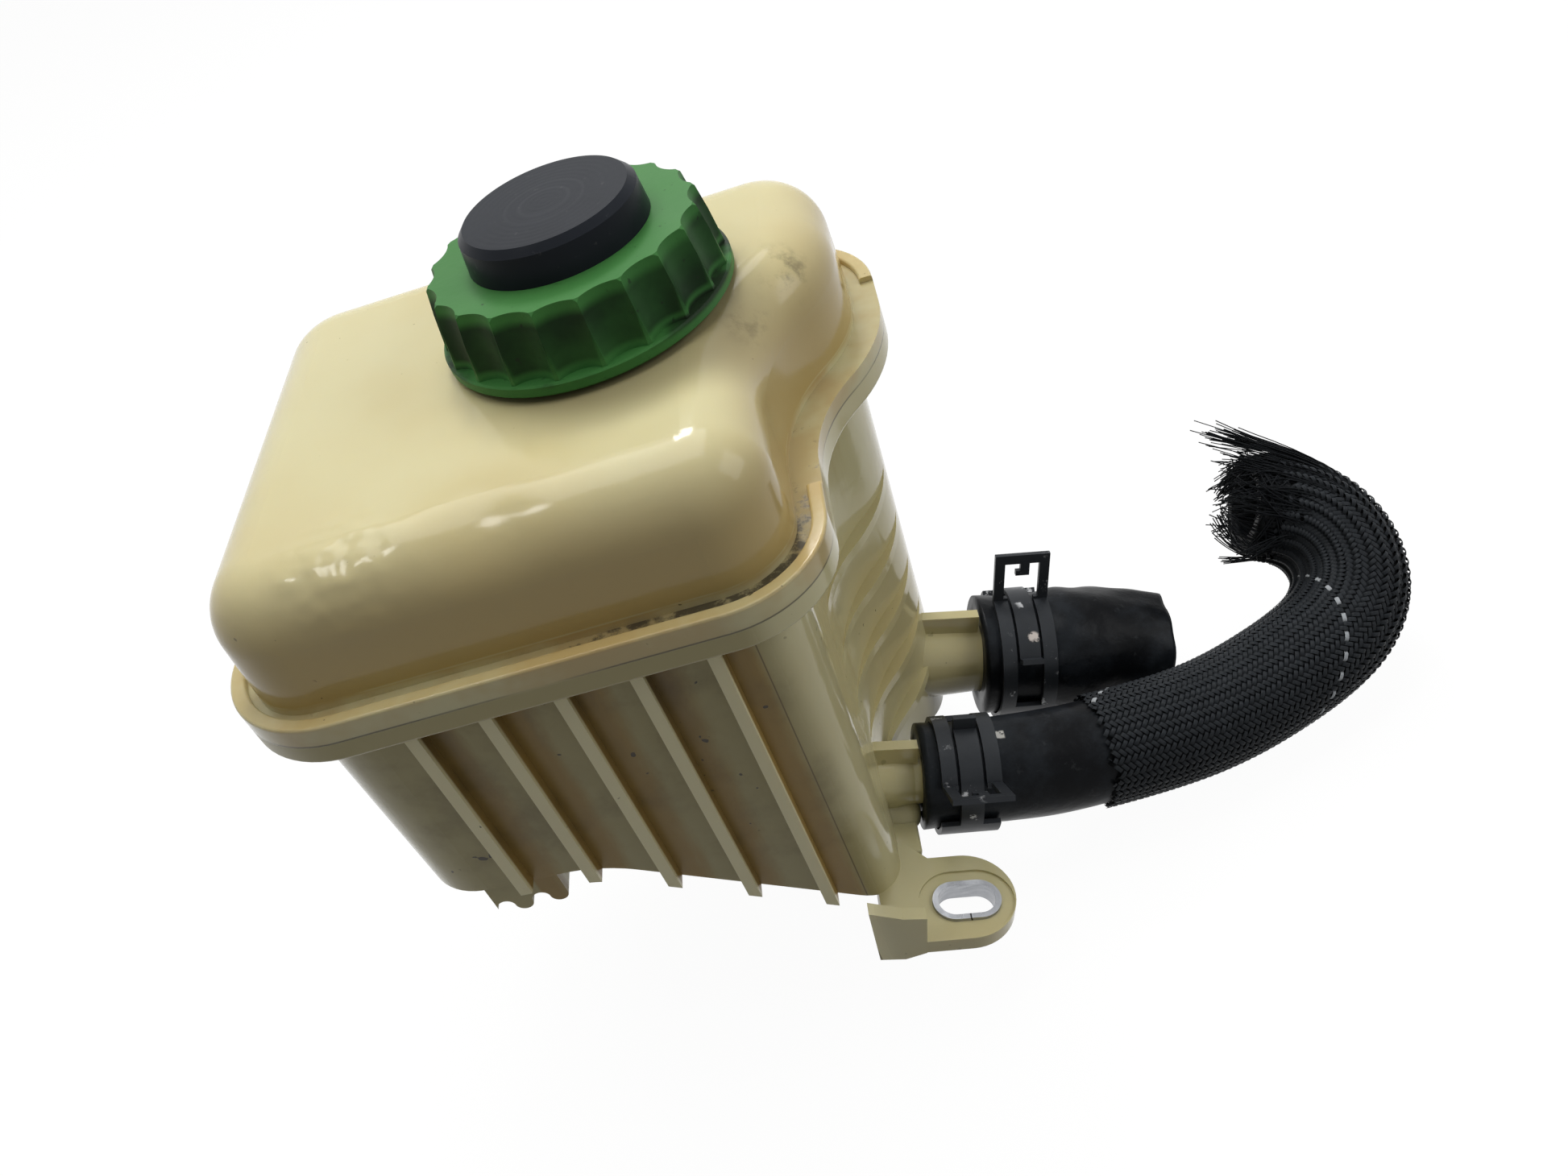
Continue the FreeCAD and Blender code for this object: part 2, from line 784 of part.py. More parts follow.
# Strainer: a framed screen that stands across the tank between return and suction
def make_strainer():
    """Makes the frame, fitted to the tank's inside, and the fine screen in its window."""
    gap = size("strainer_clearance")
    inner = size("lower_inset") + size("wall") + gap
    deepest = floor_depth(HALF_LENGTH) - 2
    lean = DRAFT * (SEAM - deepest)
    room = tapered("strainer_room", SEAM, deepest, inner, inner + lean)
    slab = new_body("strainer_slab")
    sketch = new_sketch(slab, "XZ_Plane", Placement(Vector(0, 0, -size("strainer_y")), Rotation()))
    add_box(sketch, -HALF_LENGTH, HALF_LENGTH, deepest, -size("strainer_top"))
    doc.recompute()
    add_pad(slab, sketch, "Sizes.strainer_thickness", both=True)
    window = new_sketch(slab, "XZ_Plane")
    left = -size("window_width") / 2 - 4
    top = -size("strainer_top") - 8
    panel = (left, left + size("window_width"), top - size("window_height"), top)
    middle = (panel[0] + panel[1]) / 2
    bar = size("strainer_thickness") / 2
    add_box(window, panel[0], middle - bar, panel[2], panel[3])
    add_box(window, middle + bar, panel[1], panel[2], panel[3])
    add_pocket(slab, window, DEEP, both=True)
    fitted = common("strainer_fitted", slab, room)
    below = floor_tool("strainer_floor_tool", size("wall") + gap)
    frame = cut("strainer_frame", fitted, below)

    mesh = new_body("strainer_mesh", Placement(Vector(0, size("strainer_y"), 0), Rotation()))
    border = size("strainer_thickness")
    seat = -size("strainer_thickness") / 2 - 0.05
    sketch = new_sketch(mesh, "XZ_Plane", Placement(Vector(0, 0, -seat), Rotation()))
    add_box(sketch, panel[0] - border, panel[1] + border, panel[2] - border, panel[3] + border)
    doc.recompute()
    add_pad(mesh, sketch, "Sizes.mesh_thickness")
    return [frame, mesh]


# Hoses, their clamps and the braided sleeve
def make_suction_hose():
    """Makes the short cut hose, pinched a little towards its open end."""
    bore = size("suction_barrel") / 2 + 0.3
    outer = size("suction_hose") / 2
    start = size("suction_stop")
    end = start + size("suction_hose_length")
    waist = end - 16
    profile = [
        (start, bore + size("barb_height")),
        (start, outer - 0.8),
        (start + 0.8, outer),
        (waist, outer),
        (end - 5, outer - 1.0),
        (end, outer - 1.6),
        (end, bore),
        (end - 8, bore),
        (waist, bore + size("barb_height")),
    ]
    return turned("suction_hose", profile, SUCTION)


HOSE_POINTS = [
    (5.5, 0.0),
    (27.5, 0.0),
    (51.0, 3.6),
    (69.0, 8.6),
    (86.0, 15.4),
    (100.0, 22.4),
    (106.0, 34.2),
    (104.0, 46.9),
    (94.6, 55.1),
    (84.0, 56.4),
]
HOSE_RISE = 30.0


def hose_point(along, across):
    """Puts a point of the hose's rising plane into the part's frame."""
    rise = math.radians(HOSE_RISE)
    local = Vector(along, across * math.cos(rise), across * math.sin(rise))
    return RETURN.multVec(local)


def hose_wire(points):
    """Joins straight runs with tangent arcs and prints each arc's radius."""
    edges = []
    start = points[0]
    for before, corner, after in zip(points, points[1:], points[2:]):
        inward = (before - corner).normalize()
        outward = (after - corner).normalize()
        turn = math.pi - inward.getAngle(outward)
        reach = 0.45 * min((before - corner).Length, (after - corner).Length)
        radius = reach / math.tan(turn / 2)
        first = corner + inward * reach
        last = corner + outward * reach
        middle_way = (inward + outward).normalize()
        middle = corner + middle_way * (radius / math.cos(turn / 2) - radius)
        edges.append(Part.LineSegment(start, first).toShape())
        edges.append(Part.Arc(first, middle, last).toShape())
        print(f"hose arc radius {radius:.1f} mm")
        start = last
    edges.append(Part.LineSegment(start, points[-1]).toShape())
    return Part.Wire(edges)


def tube_along(wire, outer, inner):
    """Sweeps a round wall along a wire and compares its volume with section times length."""
    start = wire.Edges[0].valueAt(wire.Edges[0].FirstParameter)
    heading = wire.Edges[0].tangentAt(wire.Edges[0].FirstParameter)
    solids = []
    for radius in (outer, inner):
        ring = Part.Wire([Part.Circle(start, heading, radius).toShape()])
        solids.append(wire.makePipeShell([ring], True, True))
    tube = solids[0].cut(solids[1])
    expected = math.pi * (outer**2 - inner**2) * wire.Length
    print(f"tube length {wire.Length:.1f} mm, volume {tube.Volume:.0f} of {expected:.0f}")
    return tube


def make_return_hose():
    points = [hose_point(*spot) for spot in HOSE_POINTS]
    wire = hose_wire(points)
    outer = size("return_hose") / 2
    inner = size("return_barrel") / 2 + size("barb_height") + 0.3
    made = doc.addObject("Part::Feature", "return_hose")
    made.Shape = tube_along(wire, outer, inner)
    return made


def make_sleeve():
    """Makes the braided sleeve over the hose from its start to the hose's open end."""
    points = [hose_point(*spot) for spot in HOSE_POINTS]
    run = HOSE_POINTS[2][0] - HOSE_POINTS[1][0]
    share = (size("sleeve_start") - HOSE_POINTS[1][0]) / run
    first = points[1] + (points[2] - points[1]) * share
    wire = hose_wire([first] + points[2:])
    inner = size("return_hose") / 2 + size("sleeve_gap")
    made = doc.addObject("Part::Feature", "braided_sleeve")
    made.Shape = tube_along(wire, inner + size("sleeve_wall"), inner)
    return made


def sector(label, span, inner, outer, placement, start, sweep):
    """Makes part of a ring about the local X axis, measured from straight up to the front."""
    body = new_body(label, placement.multiply(Placement(Vector(), Rotation(Vector(1, 0, 0), start))))
    sketch = new_sketch(body, "XZ_Plane")
    add_box(sketch, span[0], span[1], inner, outer)
    doc.recompute()
    add_revolution(body, sketch, "H_Axis", sweep)
    return body


def make_clamp(name, placement, inner, centre, tang_turn, side):
    """Makes a one-strip band clamp: a framed tang, two straps and a tongue between them."""
    band = size("clamp_band")
    outer = inner + band
    width = size("clamp_width")
    half = width / 2
    narrow = size("tongue_width") / 2
    whole = (centre - half, centre + half)
    middle = (centre - narrow - 0.6, centre + narrow + 0.6)
    tongue = (centre - narrow, centre + narrow)
    straps_end = size("strap_turn")
    tongue_end = size("tongue_turn")
    tongue_start = size("tongue_root_turn")

    def around(start, end):
        low, high = sorted((tang_turn + side * start, tang_turn + side * end))
        return low, high - low

    closed_part = around(straps_end, 360 - tongue_start)
    band_ring = sector(name + "_band", whole, inner, outer, placement, *closed_part)
    straps = []
    for index, span in enumerate(((whole[0], middle[0]), (middle[1], whole[1]))):
        label = f"{name}_strap_{index + 1}"
        straps.append(sector(label, span, inner, outer, placement, *around(0, straps_end + 2)))
    open_part = around(-tongue_start - 2, tongue_end)
    strip = sector(name + "_tongue", tongue, inner, outer, placement, *open_part)

    tang = new_body(name + "_tang")
    sketch = new_sketch(tang, "XZ_Plane")
    height = outer + size("clamp_tang")
    add_box(sketch, whole[0], whole[1], inner + 0.1, height)
    doc.recompute()
    add_pad(tang, sketch, "Sizes.clamp_band", both=True)
    eye = new_sketch(tang, "XZ_Plane")
    add_box(eye, middle[0], middle[1], inner - 1, outer + 1)
    add_pocket(tang, eye, 4 * band, both=True)
    rim = size("clamp_rim")
    eye = new_sketch(tang, "XZ_Plane")
    hook = (centre - 0.4, centre + 1.6)
    top = height - rim
    low = top - 3.0
    add_polygon(
        eye,
        [
            (whole[0] + rim, outer + 0.5),
            (whole[1] - rim, outer + 0.5),
            (whole[1] - rim, top),
            (hook[1], top),
            (hook[1], low),
            (hook[0] - 1.0, low),
            (hook[0] - 1.0, low + 1.2),
            (hook[0], low + 1.2),
            (hook[0], top),
            (whole[0] + rim, top),
        ],
    )
    add_pocket(tang, eye, 4 * band, both=True)
    tang.Placement = placement.multiply(Placement(Vector(), Rotation(Vector(1, 0, 0), tang_turn)))

    tab = new_body(name + "_tab")
    sketch = new_sketch(tab, "XZ_Plane")
    add_box(sketch, tongue[0], tongue[1], inner + 0.1, outer + 2.6)
    doc.recompute()
    add_pad(tab, sketch, "Sizes.clamp_band", both=True)
    turn = Rotation(Vector(1, 0, 0), tang_turn + side * tongue_end)
    tab.Placement = placement.multiply(Placement(Vector(), turn))
    return fuse(name, [band_ring, strip, tang, tab] + straps)


def build():
    half = size("clamp_width") / 2
    slip = size("clamp_slip")
    clamps = []
    for name, placement, side in (("suction", SUCTION, 1), ("return", RETURN, -1)):
        inner = size(name + "_hose") / 2 + slip
        centre = size(name + "_stop") + size("clamp_setback") + half
        turn = size(name + "_tang_turn")
        clamps.append(make_clamp(name + "_clamp", placement, inner, centre, turn, side))
    return [
        make_upper_shell(),
        make_lower_shell(),
        make_bush(),
        make_ring(),
        make_knob(),
        make_seal(),
        make_dipstick(),
        *make_strainer(),
        make_suction_hose(),
        make_return_hose(),
        make_sleeve(),
        *clamps,
    ]


def check(objects):
    for item in doc.Objects:
        if "Invalid" in item.State or "Error" in item.State:
            raise RuntimeError(item.Label + " is in error")
    for item in objects:
        if item.Shape.isNull() or not item.Shape.isValid():
            raise RuntimeError(item.Label + " has a bad shape")
        box = item.Shape.BoundBox
        print(f"{item.Label}: {len(item.Shape.Solids)} solid, {item.Shape.Volume / 1000:.2f} cm3,", box)


def export(objects):
    os.makedirs("parts", exist_ok=True)
    for item in objects:
        item.Shape.exportStep(f"parts/{item.Label}.step")


# The part's origin is the middle of the mounting slot, on the ear's upper face
pieces = build()
doc.recompute()
origin = Placement(EAR.Base.negative(), Rotation())
for piece in pieces:
    piece.Placement = origin.multiply(piece.Placement)
doc.recompute()
check(pieces)
export(pieces)
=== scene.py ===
import math
import random

import bmesh
import bpy
from mathutils import Matrix, Vector, noise


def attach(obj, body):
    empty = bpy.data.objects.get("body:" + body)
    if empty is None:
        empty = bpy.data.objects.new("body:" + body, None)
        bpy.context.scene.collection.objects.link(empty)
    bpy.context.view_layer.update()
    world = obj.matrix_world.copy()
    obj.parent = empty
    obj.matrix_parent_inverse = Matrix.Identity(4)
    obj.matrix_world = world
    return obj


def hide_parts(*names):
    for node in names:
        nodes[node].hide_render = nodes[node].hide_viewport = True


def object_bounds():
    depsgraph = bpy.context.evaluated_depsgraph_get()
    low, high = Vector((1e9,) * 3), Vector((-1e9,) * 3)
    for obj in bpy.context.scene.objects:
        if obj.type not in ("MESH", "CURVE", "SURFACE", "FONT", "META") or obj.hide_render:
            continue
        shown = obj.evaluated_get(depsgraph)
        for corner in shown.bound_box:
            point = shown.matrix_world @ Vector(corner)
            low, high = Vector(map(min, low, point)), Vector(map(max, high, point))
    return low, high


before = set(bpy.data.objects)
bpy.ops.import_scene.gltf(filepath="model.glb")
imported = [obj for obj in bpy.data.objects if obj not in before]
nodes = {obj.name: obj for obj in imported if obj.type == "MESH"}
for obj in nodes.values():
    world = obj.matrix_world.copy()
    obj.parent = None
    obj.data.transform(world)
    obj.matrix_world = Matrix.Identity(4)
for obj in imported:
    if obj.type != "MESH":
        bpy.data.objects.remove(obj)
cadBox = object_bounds()
mm = 0.001
seamHeight = 0.0924  # upper face of the tank's flange
capSpot = Vector((-0.0325, 0.0536, 0.0))
# both spigots tilt with the ear
tiltTurn = Matrix.Rotation(math.radians(15), 4, "Y")
suctionRoot = Matrix.Translation((0.0027, 0.0636, 0.0029)) @ tiltTurn
returnRoot = Matrix.Translation((-0.0091, 0.0279, 0.0074)) @ tiltTurn


def addObject(name, data):
    made = bpy.data.objects.new(name, data)
    bpy.context.scene.collection.objects.link(made)
    return made


def meshFrom(name, bm, smooth=True):
    mesh = bpy.data.meshes.new(name)
    bm.to_mesh(mesh)
    bm.free()
    for face in mesh.polygons:
        face.use_smooth = smooth
    return addObject(name, mesh)


def bell(value, centre, width, power):
    return math.exp(-(((value - centre) / width) ** power))


def ramp(value, start, span):
    # from 0 at the start to 1 a span further on
    return max(0.0, min(1.0, (value - start) / span))


def tubeRings(bm, segments, radius, steps):
    # a circle and its extruded copies, all in one place until each ring is moved
    ring = bmesh.ops.create_circle(bm, segments=segments, radius=radius)
    rings = [ring["verts"]]
    edges = bm.edges[:]
    for _ in range(steps):
        extruded = bmesh.ops.extrude_edge_only(bm, edges=edges)["geom"]
        edges = [item for item in extruded if isinstance(item, bmesh.types.BMEdge)]
        rings.append([item for item in extruded if isinstance(item, bmesh.types.BMVert)])
    return rings


def addWall(piece, thickness):
    wall = piece.modifiers.new("wall", "SOLIDIFY")
    wall.thickness = thickness
    wall.offset = -1


def addSpline(data, kind, points):
    spline = data.splines.new(kind)
    spline.points.add(len(points) - 1)
    for spot, point in zip(spline.points, points):
        spot.co = (*point, 1.0)
    return spline


def readCurve(data):
    # the mesh that Blender makes of a curve
    carrier = bpy.data.objects.new("curveReader", data)
    mesh = bpy.data.meshes.new_from_object(carrier)
    bpy.data.objects.remove(carrier)
    return mesh


# camera
print("camera")
cameraView = {
    "place": (0.0160, -0.1569, 0.2244),
    "right": (0.955, -0.083, -0.284),
    "up": (0.267, 0.654, 0.707),
    "back": (0.127, -0.752, 0.647),
    "lens": 31.45,
    "sensor": 36,
    "clipStart": 0.01,
}


def makeCamera():
    data = bpy.data.cameras.new("photoCamera")
    data.lens = cameraView["lens"]
    data.sensor_width = cameraView["sensor"]
    data.clip_start = cameraView["clipStart"]
    camera = addObject("photoCamera", data)
    turned = Matrix((cameraView["right"], cameraView["up"], cameraView["back"])).transposed()
    camera.matrix_world = Matrix.Translation(cameraView["place"]) @ turned.to_4x4()
    bpy.context.scene.camera = camera


makeCamera()


# return hose
print("return hose")
hose = {
    # points of the route in metres, from the spigot to the cut end
    "points": [
        (-0.0038, 0.0279, 0.0060),
        (0.0175, 0.0279, 0.0003),
        (0.0406, 0.0314, -0.0045),
        (0.0591, 0.0360, -0.0080),
        (0.0774, 0.0427, -0.0079),
        (0.0902, 0.0494, -0.0068),
        (0.0970, 0.0578, -0.0029),
        (0.0963, 0.0676, 0.0030),
        (0.0887, 0.0741, 0.0087),
        (0.0800, 0.0750, 0.0118),
    ],
    "length": 0.141,
    "diameter": 0.022,
    "bore": 0.0145,
    "segments": 48,
    "steps": 110,
    "uneven": 0.25 * mm,
    "unevenPace": 90,
    "pinch": 0.35 * mm,     # under the clamp
    "pinchAt": 0.0085,
    "pinchWidth": 0.0062,
    "sleeveStart": 0.0375,
}


class Route:
    # an even walk along the hose's line, with a frame that doesn't twist
    samePlace = 1e-6  # a curve's mesh can hold a point twice

    def __init__(self, points):
        self.points = [points[0]]
        for point in points[1:]:
            if (point - self.points[-1]).length > self.samePlace:
                self.points.append(point)
        self.reach = [0.0]
        for a, b in zip(self.points, self.points[1:]):
            self.reach.append(self.reach[-1] + (b - a).length)
        self.length = self.reach[-1]
        self.sides = []
        side = Vector((0, 0, 1))
        for index in range(len(self.points)):
            ahead = self.heading(index)
            side = (side - ahead * side.dot(ahead)).normalized()
            self.sides.append(side.copy())

    def heading(self, index):
        low = max(index - 1, 0)
        high = min(index + 1, len(self.points) - 1)
        return (self.points[high] - self.points[low]).normalized()

    def at(self, distance):
        # place, heading, and two directions across, at a distance from the start
        if distance >= self.length:
            ahead = self.heading(len(self.points) - 1)
            side = self.sides[-1]
            place = self.points[-1] + ahead * (distance - self.length)
            return place, ahead, side, ahead.cross(side)
        low, high = 0, len(self.reach) - 1
        while high - low > 1:
            middle = (low + high) // 2
            if self.reach[middle] <= distance:
                low = middle
            else:
                high = middle
        share = (distance - self.reach[low]) / (self.reach[high] - self.reach[low])
        place = self.points[low].lerp(self.points[high], share)
        ahead = self.heading(low).lerp(self.heading(high), share).normalized()
        side = self.sides[low].lerp(self.sides[high], share)
        side = (side - ahead * side.dot(ahead)).normalized()
        return place, ahead, side, ahead.cross(side)


def makeRoute():
    data = bpy.data.curves.new("returnRoute", "CURVE")
    data.dimensions = "3D"
    data.resolution_u = 24
    spline = addSpline(data, "NURBS", hose["points"])
    spline.order_u = 3
    spline.use_endpoint_u = True
    line = readCurve(data)
    found = [vertex.co.copy() for vertex in line.vertices]
    bpy.data.meshes.remove(line)
    return Route(found)


route = makeRoute()
print("return route length", round(route.length, 4))


def makeReturnHose():
    outer = hose["diameter"] / 2
    bm = bmesh.new()
    rings = tubeRings(bm, hose["segments"], outer, hose["steps"])
    for number, verts in enumerate(rings):
        reach = route.length * number / hose["steps"]
        place, _, side, across = route.at(reach)
        pinch = hose["pinch"] * bell(reach, hose["pinchAt"], hose["pinchWidth"], 4)
        for vert in verts:
            angle = math.atan2(vert.co.y, vert.co.x)
            up, front = math.cos(angle), math.sin(angle)
            swell = hose["uneven"] * noise.noise(Vector((reach * hose["unevenPace"], up, front)))
            radius = outer + swell - pinch
            vert.co = place + side * (radius * up) + across * (radius * front)
    bmesh.ops.recalc_face_normals(bm, faces=bm.faces[:])
    made = meshFrom("returnHose", bm)
    addWall(made, outer - hose["bore"] / 2)
    return made


returnHose = makeReturnHose()


# braided sleeve
print("braided sleeve")
braid = {
    "strands": 48,          # each way
    "advance": 0.066,       # along the hose for one turn
    "radius": 0.0115,
    "wave": 0.00040,        # how far a strand rises and dips
    "steepness": 1.5,       # of its way from under to over
    "width": 0.00088,
    "crown": 0.00013,
    "samples": 380,
    "greyStrand": 46,       # of the strands that wind backwards
    "pleat": 0.00030,       # height of the ridges in the bend
    "pleatFrom": 0.088,
    "pleatOver": 0.02,
    "trim": (-0.0012, 0.0004),
    "endGap": 0.003,
    "endRagged": 0.003,
    "seed": 5,
}


def strandPlace(reach, angle, lift, shift, tangent):
    place, ahead, side, across = route.at(reach)
    out = side * math.cos(angle) + across * math.sin(angle)
    around = across * math.cos(angle) - side * math.sin(angle)
    along = (ahead * tangent[0] + around * tangent[1]).normalized()
    return place + out * lift + out.cross(along) * shift


def bendPleat(reach, column):
    # in the bend one way's strands stand up in lengthwise ridges
    return braid["pleat"] * ramp(reach, braid["pleatFrom"], braid["pleatOver"]) * column


def makeSleeve():
    chance = random.Random(braid["seed"])
    start = hose["sleeveStart"]
    end = route.length - braid["endGap"]
    pace = 2 * math.pi / braid["advance"]
    slant = braid["radius"] * pace
    bm = bmesh.new()
    tracer = bm.verts.layers.float.new("tracer")
    acrossStrand = bm.verts.layers.float.new("acrossStrand")
    overStrand = bm.verts.layers.float.new("overStrand")
    for way in (1, -1):
        for number in range(braid["strands"]):
            base = 2 * math.pi * number / braid["strands"]
            trim = chance.uniform(*braid["trim"])
            length = end - abs(chance.gauss(0, braid["endRagged"])) - start - trim
            steps = int(braid["samples"] * length / (end - start))
            made = bmesh.ops.create_grid(bm, x_segments=steps, y_segments=2, size=1.0)["verts"]
            grey = 1.0 if way == -1 and number == braid["greyStrand"] else 0.0
            for vert in made:
                slot = vert.co.y
                reach = start + trim + (vert.co.x + 1) / 2 * length
                angle = base + way * pace * (reach - start)
                # over two strands and under two, in columns that run along the hose
                column = math.sin(angle * braid["strands"] / 2 + math.pi / 4)
                over = max(-1.0, min(1.0, way * column * braid["steepness"]))
                lift = braid["radius"] + braid["wave"] * over + braid["crown"] * (1 - slot * slot)
                lift += bendPleat(reach, column)
                sideways = slot * braid["width"] / 2
                vert.co = strandPlace(reach, angle, lift, sideways, (1.0, way * slant))
                vert[tracer] = grey
                vert[acrossStrand] = slot
                vert[overStrand] = over
    return meshFrom("braidedSleeve", bm)


sleeve = makeSleeve()


# frayed end
print("frayed end")
fray = {
    "thickness": 0.00014,
    "clearance": 0.0002,
    "seed": 11,
    # each bunch: turn round the hose, start before the end, length, lift, swing, fibres
    "bunches": [
        (80, 0.019, 0.030, 0.0050, 10, 12),
        (68, 0.018, 0.029, 0.0035, 18, 12),
        (56, 0.017, 0.028, 0.0020, 12, 12),
        (95, 0.017, 0.026, 0.0038, -6, 11),
        (110, 0.015, 0.023, 0.0020, -14, 10),
        (44, 0.015, 0.026, 0.0014, 8, 11),
        (30, 0.013, 0.023, 0.0016, -12, 10),
        (14, 0.012, 0.020, 0.0022, 8, 10),
        (-4, 0.011, 0.018, 0.0026, 16, 9),
        (-24, 0.010, 0.016, 0.0030, -14, 9),
        (-46, 0.009, 0.014, 0.0020, 12, 8),
        (-70, 0.009, 0.013, 0.0012, -10, 8),
        (130, 0.012, 0.017, 0.0012, 10, 8),
        (155, 0.011, 0.014, 0.0008, -8, 7),
        (180, 0.010, 0.013, 0.0006, 8, 7),
        (-100, 0.010, 0.013, 0.0008, 8, 7),
        (-135, 0.010, 0.012, 0.0006, -8, 7),
    ],
    # how unevenly a bunch's fibres start, how long and how raised they are, and how they stray
    "startSpread": (-0.0015, 0.0015),
    "lengthSpread": (0.72, 1.05),
    "liftSpread": (0.55, 1.35),
    "leastLift": 0.0002,
    "swingStray": 9,
    "turnStray": 3,
    "curlStray": 3,
    # loose single fibres round the hose's end
    "net": {
        "fibres": 44,
        "slant": (40, 75),
        "before": (0.009, 0.012),
        "length": 0.011,
        "lift": (0.0001, 0.0008),
    },
    # short fibres that hang over its mouth; turn and swing have a middle and a spread
    "veil": {
        "fibres": 200,
        "turn": (60, 80),
        "before": (0.003, 0.004),
        "inward": (0.002, 0.0100),
        "length": (0.007, 0.010),
        "swing": (0, 12),
    },
}


def fibreLine(start, length, turn, swing, lift, curl):
    # one fibre that leaves the sleeve's surface and drifts outwards and round
    points = []
    for step in range(8):
        share = step / 7
        place, _, side, across = route.at(start + length * share)
        angle = math.radians(turn + swing * share * share + curl * math.sin(share * 4))
        out = side * math.cos(angle) + across * math.sin(angle)
        points.append(place + out * (braid["radius"] + fray["clearance"] + lift * share**1.7))
    return points


def bunchLines(chance):
    lines = []
    for turn, before, length, lift, swing, fibres in fray["bunches"]:
        for _ in range(fibres):
            start = route.length - before + chance.uniform(*fray["startSpread"])
            own = length * chance.uniform(*fray["lengthSpread"])
            swayed = swing + chance.gauss(0, fray["swingStray"])
            raised = max(fray["leastLift"], lift * chance.uniform(*fray["liftSpread"]))
            turned = turn + chance.gauss(0, fray["turnStray"])
            curl = chance.gauss(0, fray["curlStray"])
            lines.append(fibreLine(start, own, turned, swayed, raised, curl))
    return lines


def netLines(chance, net):
    lines = []
    for _ in range(net["fibres"]):
        turn = chance.uniform(0, 360)
        slant = chance.choice((-1, 1)) * chance.uniform(*net["slant"])
        start = route.length - chance.uniform(*net["before"])
        lift = chance.uniform(*net["lift"])
        lines.append(fibreLine(start, net["length"], turn, slant, lift, 0))
    return lines


def veilLines(chance, veil):
    lines = []
    for _ in range(veil["fibres"]):
        turn = chance.gauss(*veil["turn"])
        start = route.length - chance.uniform(*veil["before"])
        inward = -chance.uniform(*veil["inward"])
        length = chance.uniform(*veil["length"])
        swing = chance.gauss(*veil["swing"])
        lines.append(fibreLine(start, length, turn, swing, inward, 0))
    return lines


def makeFray():
    chance = random.Random(fray["seed"])
    data = bpy.data.curves.new("frayedEnd", "CURVE")
    data.dimensions = "3D"
    data.bevel_depth = fray["thickness"]
    data.bevel_resolution = 0
    data.resolution_u = 1
    lines = bunchLines(chance)
    lines += netLines(chance, fray["net"])
    lines += veilLines(chance, fray["veil"])
    for points in lines:
        addSpline(data, "POLY", points)
    mesh = readCurve(data)
    mesh.name = "frayedEnd"
    return addObject("frayedEnd", mesh)


frayedEnd = makeFray()
for piece in (returnHose, sleeve, frayedEnd):
    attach(piece, "tank")
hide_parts("return_hose")
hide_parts("braided_sleeve")


# suction hose
print("suction hose")
thickHose = {
    "start": 0.012,
    "length": 0.042,
    "radius": 0.0135,
    "bore": 0.0085,
    "segments": 64,
    "steps": 60,
    "pinch": 0.5 * mm,          # under the clamp
    "pinchAt": 0.021,
    "pinchWidth": 0.0065,
    "swell": 0.35 * mm,         # just past it
    "swellAt": 0.031,
    "swellWidth": 0.004,
    "narrowing": 1.7 * mm,      # towards the cut end, which also sags and flattens
    "narrowFrom": 0.62,
    "sag": 0.6 * mm,
    "flattening": 0.05,
    "uneven": 0.25 * mm,
    "wrinkle": 0.55 * mm,
    "wrinkleFrom": 0.026,
    "wrinkleOver": 0.008,
    "raggedCut": 0.7 * mm,
}


def thickRadius(reach, narrow, up, front):
    radius = thickHose["radius"]
    radius -= thickHose["pinch"] * bell(reach, thickHose["pinchAt"], thickHose["pinchWidth"], 4)
    radius += thickHose["swell"] * bell(reach, thickHose["swellAt"], thickHose["swellWidth"], 2)
    radius -= thickHose["narrowing"] * narrow**1.6
    uneven = noise.noise(Vector((reach * 120, up * 1.5, front * 1.5)))
    wrinkle = noise.noise(Vector((reach * 150, up * 2.6, front * 2.6 + 7)))
    wrinkled = ramp(reach, thickHose["wrinkleFrom"], thickHose["wrinkleOver"])
    return radius + thickHose["uneven"] * uneven + thickHose["wrinkle"] * wrinkled * wrinkle


def makeSuctionHose():
    bm = bmesh.new()
    rings = tubeRings(bm, thickHose["segments"], thickHose["radius"], thickHose["steps"])
    for number, verts in enumerate(rings):
        share = number / thickHose["steps"]
        reach = thickHose["start"] + thickHose["length"] * share
        narrow = ramp(share, thickHose["narrowFrom"], 1 - thickHose["narrowFrom"])
        for vert in verts:
            angle = math.atan2(vert.co.y, vert.co.x)
            up, front = math.cos(angle), math.sin(angle)
            radius = thickRadius(reach, narrow, up, front)
            height = radius * (1 - thickHose["flattening"] * narrow)
            sag = thickHose["sag"] * narrow
            ragged = noise.noise(Vector((up * 2.2, front * 2.2, 4.0)))
            cut = thickHose["raggedCut"] * narrow * ragged
            vert.co = Vector((reach + cut, -front * radius, up * height - sag))
    bm.transform(suctionRoot)
    bmesh.ops.recalc_face_normals(bm, faces=bm.faces[:])
    made = meshFrom("suctionHose", bm)
    addWall(made, thickHose["radius"] - thickHose["bore"])
    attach(made, "tank")
    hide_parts("suction_hose")
    return made


suctionHose = makeSuctionHose()


# lug between the return spigot and the ear
print("lug")
lug = {
    # along the spigot, across it and upwards, in the spigot's own tilted frame
    "bossPlace": (0.0007, -0.0049, -0.0056),
    "bossSize": (0.0094, 0.0056, 0.0066),
    "bossRound": 0.0026,
    "bossLean": -41,
    "webPlace": (0.0001, -0.0102, -0.0068),
    "webSize": (0.0082, 0.0100, 0.0036),
    "webRound": 0.0008,
}


